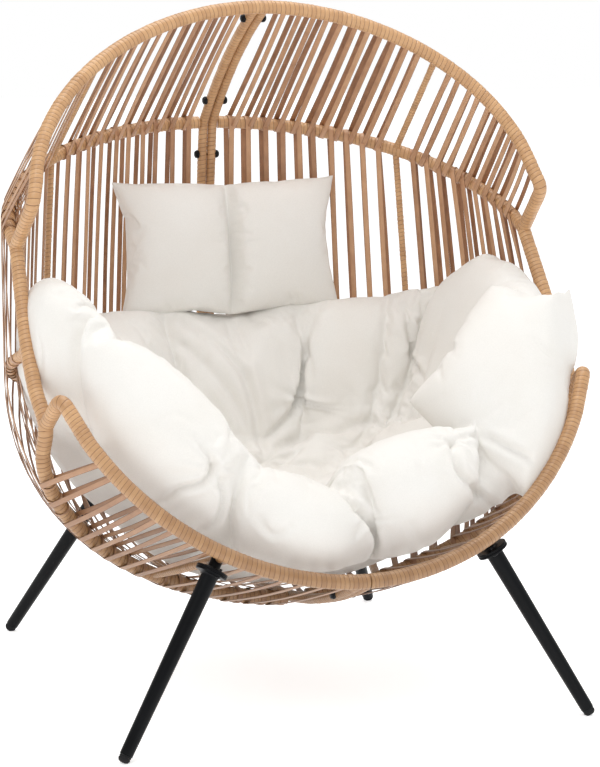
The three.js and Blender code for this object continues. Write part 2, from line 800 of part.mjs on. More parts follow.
addPart('seat_cushion', seatCushionGeometry(), fabric);
addPart('head_pillow', headPillowGeometry(), fabric);

export default model;
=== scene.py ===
import math

import bmesh
import bpy
import numpy as np
from mathutils import Matrix, Vector


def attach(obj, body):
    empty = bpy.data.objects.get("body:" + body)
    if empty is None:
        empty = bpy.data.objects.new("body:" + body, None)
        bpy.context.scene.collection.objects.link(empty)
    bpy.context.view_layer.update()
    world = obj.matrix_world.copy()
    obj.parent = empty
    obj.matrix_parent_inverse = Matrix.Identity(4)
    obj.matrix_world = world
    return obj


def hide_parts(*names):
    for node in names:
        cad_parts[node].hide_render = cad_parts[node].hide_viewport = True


# The looks of an egg-shaped garden chair: wound wicker tubes, flat wicker slats, four black
# legs, a nest cushion and a head pillow. Metres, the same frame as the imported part.

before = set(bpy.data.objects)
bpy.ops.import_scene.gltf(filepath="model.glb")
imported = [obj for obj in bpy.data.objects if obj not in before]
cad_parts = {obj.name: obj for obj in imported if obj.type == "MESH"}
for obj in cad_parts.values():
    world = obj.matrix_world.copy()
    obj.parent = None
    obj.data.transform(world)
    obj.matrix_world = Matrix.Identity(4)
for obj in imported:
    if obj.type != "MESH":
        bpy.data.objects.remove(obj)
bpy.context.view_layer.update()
sides = {"left": -1.0, "right": 1.0}
print("frame loaded:", len(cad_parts), "nodes")


# Puts points and quads into one mesh piece; uv holds four corners for each quad.
def addPiece(name, points, quads, material, body="frame", uv=None, values=None, weld=0.0):
    mesh = bpy.data.meshes.new(name)
    mesh.vertices.add(len(points))
    mesh.vertices.foreach_set("co", np.asarray(points, np.float32).ravel())
    mesh.loops.add(quads.size)
    mesh.loops.foreach_set("vertex_index", quads.astype(np.int32).ravel())
    mesh.polygons.add(len(quads))
    mesh.polygons.foreach_set("loop_start", np.arange(len(quads), dtype=np.int32) * 4)
    if uv is not None:
        layer = mesh.uv_layers.new(name="strip")
        layer.data.foreach_set("uv", np.asarray(uv, np.float32).ravel())
    for key, value in (values or {}).items():
        attribute = mesh.attributes.new(key, "FLOAT", "POINT")
        attribute.data.foreach_set("value", np.asarray(value, np.float32).ravel())
    mesh.update(calc_edges=True)
    mesh.validate()
    if weld:
        tidyMesh(mesh, weld)
    mesh.shade_smooth()
    mesh.materials.append(material)
    piece = bpy.data.objects.new(name, mesh)
    bpy.context.scene.collection.objects.link(piece)
    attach(piece, body)
    return piece


# Merges corners closer than a distance, closes open ends and turns all faces outwards.
def tidyMesh(mesh, distance):
    work = bmesh.new()
    work.from_mesh(mesh)
    bmesh.ops.remove_doubles(work, verts=work.verts, dist=distance)
    edges = [edge for edge in work.edges if edge.is_boundary]
    bmesh.ops.holes_fill(work, edges=edges, sides=0)
    bmesh.ops.recalc_face_normals(work, faces=work.faces)
    work.to_mesh(mesh)
    work.free()


# Quads of a rows by columns grid of points, wrapped round where asked.
def gridQuads(rows, columns, wrapRows=False, wrapColumns=False):
    i, j = np.meshgrid(np.arange(rows - (not wrapRows)), np.arange(columns - (not wrapColumns)),
                       indexing="ij")
    nextI, nextJ = (i + 1) % rows, (j + 1) % columns
    corners = [i * columns + j, i * columns + nextJ, nextI * columns + nextJ, nextI * columns + j]
    return np.stack(corners, -1).reshape(-1, 4)


def unit(vectors):
    return vectors / np.maximum(np.linalg.norm(vectors, axis=-1, keepdims=True), 1e-12)


def dot(a, b):
    return np.sum(a * b, axis=-1, keepdims=True)


# The running length at each point of a path.
def arcLength(path):
    return np.concatenate([[0.0], np.cumsum(np.linalg.norm(np.diff(path, axis=0), axis=1))])


# Values given along a path, read at other lengths.
def along(lengths, values, places):
    return np.stack([np.interp(places, lengths, values[:, axis]) for axis in range(3)], -1)


# The same path at even steps, with its corners eased by a running mean.
def evenPath(path, step=0.003, ease=3):
    lengths = arcLength(path)
    count = max(8, int(lengths[-1] / step))
    even = along(lengths, path, np.linspace(0.0, lengths[-1], count + 1))
    for _ in range(ease):
        even[1:-1] = (even[:-2] + 2.0 * even[1:-1] + even[2:]) / 4.0
    return even


# A rounded corner: the quadratic curve between two runs that meet at turn.
def corner(before, turn, after, radius, steps):
    start = turn + unit(before - turn) * radius
    end = turn + unit(after - turn) * radius
    t = np.linspace(0.0, 1.0, steps + 1)[:, None]
    return (1 - t) ** 2 * start + 2 * t * (1 - t) * turn + t ** 2 * end


# A smooth curve through points, each stretch timed by the square root of its length.
def smoothThrough(points, steps):
    points = np.vstack([2 * points[0] - points[1], points, 2 * points[-1] - points[-2]])
    runs = []
    for a, b, c, d in zip(points[:-3], points[1:-2], points[2:-1], points[3:]):
        ab, bc, cd = (math.sqrt(np.linalg.norm(q - p)) for p, q in ((a, b), (b, c), (c, d)))
        slopeB = ((b - a) / ab - (c - a) / (ab + bc) + (c - b) / bc) * bc
        slopeC = ((c - b) / bc - (d - b) / (bc + cd) + (d - c) / cd) * bc
        t = np.linspace(0.0, 1.0, steps, endpoint=False)[:, None]
        runs.append(b * (1 + 2 * t) * (1 - t) ** 2 + slopeB * t * (1 - t) ** 2
                    + c * t ** 2 * (3 - 2 * t) - slopeC * t ** 2 * (1 - t))
    return np.vstack(runs + [points[-2:-1]])


# The egg's curves: u is 0 at the spine and 1 at the chair's side.
egg = {
    "openingBase": -0.6887, "openingSlope": 0.586,
    "canopyHoop": {"halfWidth": 0.5406, "middle": 1.1883, "rise": 0.4174, "exponent": 1.906},
    "lowerHoop": {"halfWidth": 0.5865, "middle": 0.960, "drop": 0.5913, "exponent": 1.971},
    "midRing": {"halfWidth": 0.557, "middleY": 0.020, "depth": 0.418, "level": 0.930,
                "tilt": 0.455, "exponent": 1.954, "overrun": 0.035},
    "lowerRing": {"halfWidth": 0.572, "middleY": -0.060, "depth": 0.485, "level": 0.712,
                  "tilt": -0.36, "exponent": 2.0, "overrun": 0.105},
    "mainHoop": {"halfWidth": 0.567, "level": 0.550, "drop": 0.354, "exponent": 1.8,
                 "baseY": -0.0745, "lean": -0.25},
    "frontSlatTop": 0.49, "frontSlant": 1.05,
    "centre": (0.0, -0.040, 0.740),
}
eggCentre = np.array(egg["centre"])
radius = {"canopyHoop": 0.014, "lowerHoop": 0.015, "sideTube": 0.015, "midRing": 0.0135,
          "lowerRing": 0.011, "rib": 0.007, "baseRib": 0.009, "spine": 0.010}
spineEdge = 2 * radius["spine"] + 0.0024
spineOffset = radius["spine"] + 0.00035


def squircle(value, exponent):
    return np.sign(value) * np.abs(value) ** (2.0 / exponent)


# A point of the slanted opening plane, at a distance up the plane from the floor line.
def openingPoint(x, upPlane):
    z = upPlane / math.hypot(1.0, egg["openingSlope"])
    x, z = np.broadcast_arrays(x, z)
    return np.stack([x, egg["openingBase"] + egg["openingSlope"] * z, z], -1)


# The hoops are superellipses: half width times squircle(cos), height plus rise times squircle(sin).
def canopyHoopAt(u):
    hoop, angle = egg["canopyHoop"], (1 - np.asarray(u, float)) * math.pi / 2
    return openingPoint(hoop["halfWidth"] * squircle(np.cos(angle), hoop["exponent"]),
                        hoop["middle"] + hoop["rise"] * squircle(np.sin(angle), hoop["exponent"]))


def lowerHoopAngle(angle):
    hoop, angle = egg["lowerHoop"], np.asarray(angle, float)
    return openingPoint(hoop["halfWidth"] * squircle(np.cos(angle), hoop["exponent"]),
                        hoop["middle"] - hoop["drop"] * squircle(np.sin(angle), hoop["exponent"]))


def lowerHoopAt(u):
    return lowerHoopAngle(math.pi / 2 - np.asarray(u, float) * (math.pi / 2 - egg["frontSlatTop"]))


def ringAt(ring, u):
    angle = math.pi / 2 - np.asarray(u, float) * (math.pi / 2 + ring["overrun"])
    back = ring["depth"] * squircle(np.sin(angle), ring["exponent"])
    x = ring["halfWidth"] * squircle(np.cos(angle), ring["exponent"])
    return np.stack([x, ring["middleY"] + back, ring["level"] + ring["tilt"] * back], -1)


def midRingAt(u):
    return ringAt(egg["midRing"], u)


def lowerRingAt(u):
    return ringAt(egg["lowerRing"], u)


def mainHoopAt(u):
    hoop, angle = egg["mainHoop"], (1 - np.asarray(u, float)) * math.pi / 2
    x = hoop["halfWidth"] * squircle(np.cos(angle), hoop["exponent"])
    z = hoop["level"] - hoop["drop"] * squircle(np.sin(angle), hoop["exponent"])
    return np.stack([x, hoop["baseY"] + hoop["lean"] * z, z], -1)


# The front's slats slant: on the main hoop they stand nearer the spine than on the lower hoop.
def frontFootAt(u):
    u = np.asarray(u, float)
    return mainHoopAt(u - egg["frontSlant"] * u ** 3 * (1 - u))


faces = {
    "canopy": (canopyHoopAt, midRingAt, 0.006, 0.006, "canopyHoop", "midRing"),
    "back": (midRingAt, lowerRingAt, 0.004, 0.004, "midRing", "lowerRing"),
    "bowl": (lowerRingAt, mainHoopAt, 0.25, 0.02, "lowerRing", "sideTube"),
    "front": (lowerHoopAt, frontFootAt, 0.014, 0.010, "lowerHoop", "sideTube"),
}


spineBulge = {"canopy": 0.05, "back": 0.03, "bowl": 0.25, "front": 0.04}


# A woven face between two tubes: the straight line between them plus a bulge outwards of
# 4 v (1 - v) times a share of its length, which changes evenly from the spine to the side.
def facePoint(face, u, v, onSpine=False):
    start, end, bulge, sideBulge = faces[face][:4]
    if onSpine:
        bulge = sideBulge = spineBulge[face]
    u, v = np.broadcast_arrays(np.asarray(u, float), np.asarray(v, float))
    first, chord = start(u), end(u) - start(u)
    length = np.linalg.norm(chord, axis=-1, keepdims=True)
    outward = first + chord / 2 - eggCentre
    outward = unit(outward - chord * dot(outward, chord) / length ** 2)
    share = (bulge + (sideBulge - bulge) * u)[..., None]
    v = v[..., None]
    return first + chord * v + outward * 4 * v * (1 - v) * share * length


# A face's point with its directions along v, out of the face, and across.
def faceFrame(face, u, v, reach=0.002):
    point = facePoint(face, u, v)
    alongU = facePoint(face, u + reach, v) - facePoint(face, u - reach, v)
    alongV = unit(facePoint(face, u, v + reach) - facePoint(face, u, v - reach))
    normal = unit(np.cross(alongU, alongV))
    normal = normal * np.sign(dot(normal, point - eggCentre))
    return point, alongV, normal, np.cross(alongV, normal)


# The value of u at which a curve that starts at the spine reaches a distance from the middle.
def leaveSpine(place, distance):
    u = np.linspace(0.0, 0.5, 4001)
    return float(np.interp(distance, place(u)[:, 0], u))


joints = {
    "shoulder": openingPoint(0.550, 1.182), "neck": np.array([0.557, 0.005, 0.923]),
    "sideBend": np.array([0.571, -0.118, 0.745]), "sideLow": np.array([0.572, -0.178, 0.666]),
    "armElbow": np.array([0.566, -0.226, 0.604]), "hoopTop": 0.93,
    "shoulderBend": 0.020, "armBend": 0.022,
    "armTipPoint": openingPoint(0.556, 0.960 - 0.5913 * 0.31),
}


# The rim: the canopy hoop, its shoulder bend, the side tube and the main hoop in one run.
def rimPath():
    hoop = canopyHoopAt(np.linspace(0.0005, joints["hoopTop"], 160))
    bend = corner(hoop[-1], joints["shoulder"], joints["neck"], joints["shoulderBend"], 8)
    low = mainHoopAt(np.array([1.0]))[0]
    knots = [joints["neck"], joints["sideBend"], joints["sideLow"], joints["armElbow"], low]
    down = smoothThrough(np.array(knots), 12)
    start = leaveSpine(mainHoopAt, spineEdge)
    main = mainHoopAt(np.linspace(1.0, start, 160))
    return np.vstack([hoop, bend, down, main[1:]])


def lowerHoopPath():
    angles = np.linspace(egg["frontSlatTop"], math.pi / 2, 160)
    run = lowerHoopAngle(angles)
    run[:, 0] = np.maximum(run[:, 0], 0.0012)
    bend = corner(joints["armElbow"], joints["armTipPoint"], run[0], joints["armBend"], 8)
    return np.vstack([joints["armElbow"], bend, run])


def midRingPath():
    return midRingAt(np.linspace(leaveSpine(midRingAt, spineEdge), 1.0, 200))


def lowerRingPath():
    run = lowerRingAt(np.linspace(leaveSpine(lowerRingAt, spineEdge), 0.97, 200))
    return np.vstack([run, joints["sideBend"]])


# One spine tube follows u = 0 round the whole egg, beside the middle.
def spinePath():
    v = np.linspace(0.0, 1.0, 80)
    runs = [facePoint(face, 0.0, v if face != "front" else v[::-1], True)
            for face in ("canopy", "back", "bowl", "front")]
    path = np.vstack([runs[0]] + [run[1:] for run in runs[1:]])
    path[:, 0] = spineOffset
    return path


def ribPath(face, u):
    return facePoint(face, u, np.linspace(0.0, 1.0, 60))


def newMaterial(name):
    material = bpy.data.materials.new(name)
    material.use_nodes = True
    nodes, links = material.node_tree.nodes, material.node_tree.links
    return material, nodes, links, nodes["Principled BSDF"]


# Adds one node; settings are its properties, sockets its input values.
def addNode(nodes, kind, settings=None, sockets=None):
    node = nodes.new(kind)
    for key, value in (settings or {}).items():
        setattr(node, key, value)
    for key, value in (sockets or {}).items():
        node.inputs[key].default_value = value
    return node


def ramp(nodes, links, source, stops):
    node = nodes.new("ShaderNodeValToRGB")
    while len(node.color_ramp.elements) < len(stops):
        node.color_ramp.elements.new(0.5)
    for element, (place, colour) in zip(node.color_ramp.elements, stops):
        element.position = place
        element.color = (*colour, 1.0) if len(colour) == 3 else colour
    links.new(source, node.inputs["Fac"])
    return node.outputs["Color"]


def mix(nodes, links, factor, first, second, blend="MIX"):
    node = addNode(nodes, "ShaderNodeMix", {"data_type": "RGBA", "blend_type": blend})
    for socket, value in ((node.inputs[0], factor), (node.inputs[6], first),
                          (node.inputs[7], second)):
        if isinstance(value, bpy.types.NodeSocket):
            links.new(value, socket)
        else:
            socket.default_value = value if isinstance(value, float) else (*value, 1.0)
    return node.outputs[2]


def maths(nodes, links, operation, first, second=None, third=None):
    node = addNode(nodes, "ShaderNodeMath", {"operation": operation})
    for index, value in enumerate((first, second, third)):
        if isinstance(value, bpy.types.NodeSocket):
            links.new(value, node.inputs[index])
        elif value is not None:
            node.inputs[index].default_value = value
    return node.outputs[0]


def bump(nodes, links, height, strength, distance, shader):
    node = addNode(nodes, "ShaderNodeBump", None, {"Strength": strength, "Distance": distance})
    links.new(height, node.inputs["Height"])
    links.new(node.outputs["Normal"], shader.inputs["Normal"])


# Wicker: each strip has its own tone, fine streaks along it, mottling, and dark edges where strips
# meet; on the slats the tone read per point also holds painted shade. The colour is darkened
# towards the floor, by a half at the lowest level of wicker["low"]: painted shade for the shaded
# lower wicker.
# The strip map holds metres along the strip, and 0 to 1 across it.
wicker = {
    "streakScale": (26.0, 9.0, 1.0), "mottleScale": 34.0, "streakShare": 0.34,
    "mottleShare": 0.36, "toneShare": 0.42, "levels": (0.30, 0.56, 0.84), "edgeShare": 0.9,
    "roughSpread": 0.22, "edgeRough": 0.3, "coat": 0.12, "coatRough": 0.28,
    "bump": (0.35, 0.0006),
    "low": [(0.22, (0.50, 0.47, 0.44)), (0.42, (0.72, 0.70, 0.68)), (0.66, (1.0, 1.0, 1.0))],
}


def wickerMaterial(name, deep, mid, light, edge, edgeWidth, gloss):
    material, nodes, links, shader = newMaterial(name)
    strip = addNode(nodes, "ShaderNodeUVMap", {"uv_map": "strip"})
    toneAndShade = addNode(nodes, "ShaderNodeAttribute", {"attribute_name": "toneAndShade"})
    split = nodes.new("ShaderNodeSeparateXYZ")
    links.new(strip.outputs["UV"], split.inputs[0])
    stretch = addNode(nodes, "ShaderNodeMapping", None, {"Scale": wicker["streakScale"]})
    links.new(strip.outputs["UV"], stretch.inputs["Vector"])
    streaks = addNode(nodes, "ShaderNodeTexNoise", None, {"Scale": 1.0, "Detail": 5.0,
                                                         "Roughness": 0.6})
    links.new(stretch.outputs[0], streaks.inputs["Vector"])
    place = nodes.new("ShaderNodeTexCoord")
    mottle = addNode(nodes, "ShaderNodeTexNoise", None, {"Scale": wicker["mottleScale"],
                                                         "Detail": 4.0})
    links.new(place.outputs["Object"], mottle.inputs["Vector"])
    shade = maths(nodes, links, "MULTIPLY_ADD", streaks.outputs["Fac"],
                  wicker["streakShare"], 0.0)
    shade = maths(nodes, links, "MULTIPLY_ADD", mottle.outputs["Fac"], wicker["mottleShare"], shade)
    shade = maths(nodes, links, "MULTIPLY_ADD", toneAndShade.outputs["Fac"], wicker["toneShare"], shade)
    body = ramp(nodes, links, shade, list(zip(wicker["levels"], (deep, mid, light))))
    fromMiddle = maths(nodes, links, "ABSOLUTE", maths(nodes, links, "SUBTRACT",
                                                       split.outputs["Y"], 0.5))
    dark = ramp(nodes, links, fromMiddle, [(0.5 - edgeWidth, (0.0,) * 3),
                                           (0.5 - edgeWidth * 0.25, (1.0,) * 3)])
    colour = mix(nodes, links, maths(nodes, links, "MULTIPLY", dark, wicker["edgeShare"]), body,
                 edge)
    level = nodes.new("ShaderNodeSeparateXYZ")
    links.new(place.outputs["Object"], level.inputs[0])
    # painted shade: the colour is multiplied down towards the floor by the height ramp
    # wicker["low"]
    low = ramp(nodes, links, level.outputs["Z"], wicker["low"])
    links.new(mix(nodes, links, 1.0, colour, low, "MULTIPLY"), shader.inputs["Base Color"])
    rough = maths(nodes, links, "MULTIPLY_ADD", streaks.outputs["Fac"], wicker["roughSpread"],
                  gloss)
    links.new(maths(nodes, links, "MULTIPLY_ADD", dark, wicker["edgeRough"], rough),
              shader.inputs["Roughness"])
    shader.inputs["Specular IOR Level"].default_value = 0.5
    shader.inputs["Coat Weight"].default_value = wicker["coat"]
    shader.inputs["Coat Roughness"].default_value = wicker["coatRough"]
    bump(nodes, links, streaks.outputs["Fac"], *wicker["bump"], shader)
    return material


# Powder-coated steel: near black with a faint orange peel and dusty mottling.
def steelMaterial(name, dark, light, rough, metallic, peel):
    material, nodes, links, shader = newMaterial(name)
    place = nodes.new("ShaderNodeTexCoord")
    cloud = addNode(nodes, "ShaderNodeTexNoise", None, {"Scale": 18.0, "Detail": 6.0})
    grain = addNode(nodes, "ShaderNodeTexNoise", None, {"Scale": 900.0, "Detail": 2.0})
    for node in (cloud, grain):
        links.new(place.outputs["Object"], node.inputs["Vector"])
    links.new(ramp(nodes, links, cloud.outputs["Fac"], [(0.3, dark), (0.75, light)]),
              shader.inputs["Base Color"])
    links.new(maths(nodes, links, "MULTIPLY_ADD", cloud.outputs["Fac"], 0.16, rough),
              shader.inputs["Roughness"])
    shader.inputs["Metallic"].default_value = metallic
    shader.inputs["Specular IOR Level"].default_value = 0.12
    bump(nodes, links, grain.outputs["Fac"], peel, 0.0003, shader)
    return material


# Woven polyester: two crossed sets of fine threads, slubs, and soft warm mottling.
def fabricMaterial(name, base, shadeTone, thread, weave):
    material, nodes, links, shader = newMaterial(name)
    place = nodes.new("ShaderNodeTexCoord")
    cloud = addNode(nodes, "ShaderNodeTexNoise", None, {"Scale": 7.0, "Detail": 5.0})
    slub = addNode(nodes, "ShaderNodeTexNoise", None, {"Scale": 420.0, "Detail": 3.0})
    links.new(place.outputs["Object"], cloud.inputs["Vector"])
    links.new(place.outputs["Object"], slub.inputs["Vector"])
    threads = []
    for turn in ((0.0, 0.0, 0.6), (0.9, 0.5, 2.1)):
        turned = addNode(nodes, "ShaderNodeMapping", None, {"Rotation": turn})
        links.new(place.outputs["Object"], turned.inputs["Vector"])
        wave = addNode(nodes, "ShaderNodeTexWave", None, {"Scale": thread, "Distortion": 1.5,
                                                          "Detail": 1.0})
        links.new(turned.outputs[0], wave.inputs["Vector"])
        threads.append(wave.outputs["Fac"])
    cloth = maths(nodes, links, "MULTIPLY", threads[0], threads[1])
    cloth = maths(nodes, links, "MULTIPLY_ADD", slub.outputs["Fac"], 0.8, cloth)
    colour = ramp(nodes, links, cloud.outputs["Fac"], [(0.3, shadeTone), (0.7, base)])
    fine = ramp(nodes, links, slub.outputs["Fac"], [(0.2, (0.94,) * 3), (0.8, (1.0,) * 3)])
    links.new(mix(nodes, links, 1.0, colour, fine, "MULTIPLY"), shader.inputs["Base Color"])
    shader.inputs["Roughness"].default_value = 0.88
    shader.inputs["Specular IOR Level"].default_value = 0.25
    shader.inputs["Sheen Weight"].default_value = 0.25
    shader.inputs["Sheen Roughness"].default_value = 0.4
    bump(nodes, links, cloth, weave, 0.0004, shader)
    return material


wrapWicker = wickerMaterial("wrap_wicker", (0.40, 0.215, 0.100), (0.54, 0.305, 0.145),
                            (0.68, 0.415, 0.210), (0.17, 0.078, 0.032), 0.07, 0.26)
slatWicker = wickerMaterial("slat_wicker", (0.230, 0.108, 0.055), (0.45, 0.238, 0.125),
                            (0.60, 0.350, 0.195), (0.24, 0.120, 0.062), 0.09, 0.32)
blackSteel = steelMaterial("black_steel", (0.0025, 0.0028, 0.0035), (0.0050, 0.0055, 0.0065),
                           0.26, 0.0, 0.25)
boltSteel = steelMaterial("bolt_steel", (0.010, 0.010, 0.011), (0.03, 0.03, 0.032),
                          0.22, 0.55, 0.15)
blackRubber = steelMaterial("black_rubber", (0.010, 0.010, 0.011), (0.022, 0.022, 0.023),
                            0.52, 0.0, 0.4)
ivoryFabric = fabricMaterial("ivory_fabric", (0.87, 0.855, 0.82), (0.84, 0.815, 0.77),
                             420.0, 0.22)
print("materials ready")


# The winding: pitch in metres, how far strip widths spread, how far strips stand proud, and
# how deep the groove between two strips is. across and crown draw one strip's section.
winding = {
    "pitch": 0.0095, "spread": 0.16, "proud": 0.00025, "groove": 0.0008, "loose": 0.05,
    "across": [0.0, 0.07, 0.22, 0.5, 0.78, 0.93],
    "crown": [-1.0, -0.3, 0.0, 0.12, 0.0, -0.3],
}


# A tube wound with one flat strip. Each row of the grid is a line along the strip, so the place
# on the tube is the sum of the strip widths up to the turn number, turn = angle / full circle,
# and the last row joins the first row one turn on.
def woundTube(name, path, tubeRadius, around, seed, pitch=None, body="frame"):
    draw = np.random.default_rng(seed)
    pitch = pitch or winding["pitch"]
    path = evenPath(path)
    lengths = arcLength(path)
    total = lengths[-1]
    turns = int(math.ceil(total / pitch)) + 2
    widths = pitch * (1 + winding["spread"] * draw.uniform(-1, 1, turns + 3))
    edges = np.concatenate([[0.0], np.cumsum(widths)]) - pitch
    edges = edges * (total + 3 * pitch) / (edges[-1] + pitch)
    numbers = np.arange(len(edges), dtype=float)
    across, crown = np.array(winding["across"]), np.array(winding["crown"])
    turn = np.arange((len(edges) - 2) * around + 1) / around
    place = np.interp(turn[:, None] + across, numbers, edges)
    place = np.clip(place, 0.0, total)
    deeper = np.where(draw.random(len(edges)) < winding["loose"], 2.4, 1.0)
    lift = draw.normal(0, 1, len(edges)) * winding["proud"]
    toneAndShade = 0.5 + 0.5 * (draw.random(len(edges)) - 0.35)
    depth = np.interp(turn[:, None] + across, numbers, deeper) * winding["groove"]
    bandLift = np.interp(turn, numbers, lift)[:, None] * np.sin(across * math.pi)
    thickness = tubeRadius if np.isscalar(tubeRadius) else np.interp(place, lengths, np.interp(
        lengths / total, np.linspace(0, 1, len(tubeRadius)), tubeRadius))
    reach = thickness + crown * depth + bandLift
    tangent = unit(np.gradient(path, axis=0))
    middle, ahead = along(lengths, path, place), unit(along(lengths, tangent, place))
    outward = middle - eggCentre
    outward = unit(outward - ahead * dot(outward, ahead))
    sideways = np.cross(ahead, outward)
    angle = (turn * 2 * math.pi)[:, None, None]
    points = middle + reach[..., None] * (outward * np.cos(angle) + sideways * np.sin(angle))
    rows, columns = place.shape
    i, j = np.meshgrid(np.arange(rows - 1), np.arange(columns - 1), indexing="ij")
    inner = np.stack([i * columns + j, (i + 1) * columns + j, (i + 1) * columns + j + 1,
                      i * columns + j + 1], -1).reshape(-1, 4)
    k = np.arange(rows - 1 - around)
    last = k * columns + columns - 1
    joined = np.stack([last, last + columns, (k + 1 + around) * columns,
                       (k + around) * columns], -1)
    stripAlong = turn * 2 * math.pi * float(np.mean(thickness))
    uvInner = np.stack([
        np.stack([stripAlong[i], across[j]], -1), np.stack([stripAlong[i + 1], across[j]], -1),
        np.stack([stripAlong[i + 1], across[j + 1]], -1),
        np.stack([stripAlong[i], across[j + 1]], -1)], 2).reshape(-1, 4, 2)
    edge = np.full(len(k), across[-1])
    uvJoined = np.stack([
        np.stack([stripAlong[k], edge], -1), np.stack([stripAlong[k + 1], edge], -1),
        np.stack([stripAlong[k + 1], edge * 0 + 1], -1),
        np.stack([stripAlong[k], edge * 0 + 1], -1)], 1)
    quads = np.vstack([inner, joined])
    uv = np.vstack([uvInner, uvJoined])
    flat = place.ravel()[quads]
    kept = ~((flat.max(1) <= 1e-9) | (flat.min(1) >= total - 1e-9))
    values = {"toneAndShade": np.broadcast_to(np.interp(turn, numbers, toneAndShade)[:, None], place.shape)}
    return addPiece(name, points.reshape(-1, 3), quads[kept], wrapWicker, body,
                    uv[kept], values, weld=2e-6)


def mirroredPath(path, side):
    return path * np.array([side, 1.0, 1.0])


# Where the ribs stand on their faces, and how clear of them the slats stay.
ribU, frontBaseU, backBaseU, ribClearance = 0.49, 0.46, 0.23, 0.028
for seed, (sideName, side) in enumerate(sides.items()):
    tubes = [
        ("rim_wrap", rimPath(), [radius["canopyHoop"]] * 5 + [radius["sideTube"]] * 5, 18,
         ["canopy_hoop", "side_tube", "main_hoop"]),
        ("lower_hoop_wrap", lowerHoopPath(), radius["lowerHoop"], 18, ["lower_hoop"]),
        ("mid_ring_wrap", midRingPath(), radius["midRing"], 16, ["mid_ring"]),
        ("lower_ring_wrap", lowerRingPath(), radius["lowerRing"], 16, ["lower_ring"]),
        ("spine_wrap", spinePath(), radius["spine"], 14, ["spine"]),
        ("canopy_rib_wrap", ribPath("canopy", ribU), radius["rib"], 12, ["canopy_rib"]),
        ("back_rib_wrap", ribPath("back", ribU), radius["rib"], 12, ["back_rib"]),
        ("front_base_rib_wrap", ribPath("front", frontBaseU), radius["baseRib"], 12,
         ["front_base_rib"]),
        ("back_base_rib_wrap", ribPath("bowl", backBaseU), radius["baseRib"], 12,
         ["back_base_rib"]),
    ]
    for index, (name, path, tubeRadius, around, nodes) in enumerate(tubes):
        piece = woundTube(f"{name}_{sideName}", mirroredPath(path, side), tubeRadius, around,
                          100 * seed + index)
        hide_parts(*[f"{node}_{sideName}" for node in nodes])
print("wound tubes ready")


# Slats are closed belts of flat wicker that pass outside and inside two tubes.
# slat["shade"] is painted shade: the share of tone left on the side of each belt's outer run that
# faces into the egg.
slat = {
    "width": 0.0118, "thickness": 0.0017, "runStations": 12, "turnStations": 6,
    "proud": 0.0013, "sunk": -0.0022, "sway": 0.0030, "twist": 0.08, "shift": 0.14,
    "split": 0.0022, "shade": 0.42,
}
# The strip's section: eight corners, half widths across and half thicknesses out.
slatSection = np.array([[-1.0, 0.0], [-0.86, 0.8], [0.0, 1.0], [0.86, 0.8],
                        [1.0, 0.0], [0.86, -0.8], [0.0, -1.0], [-0.86, -0.8]])


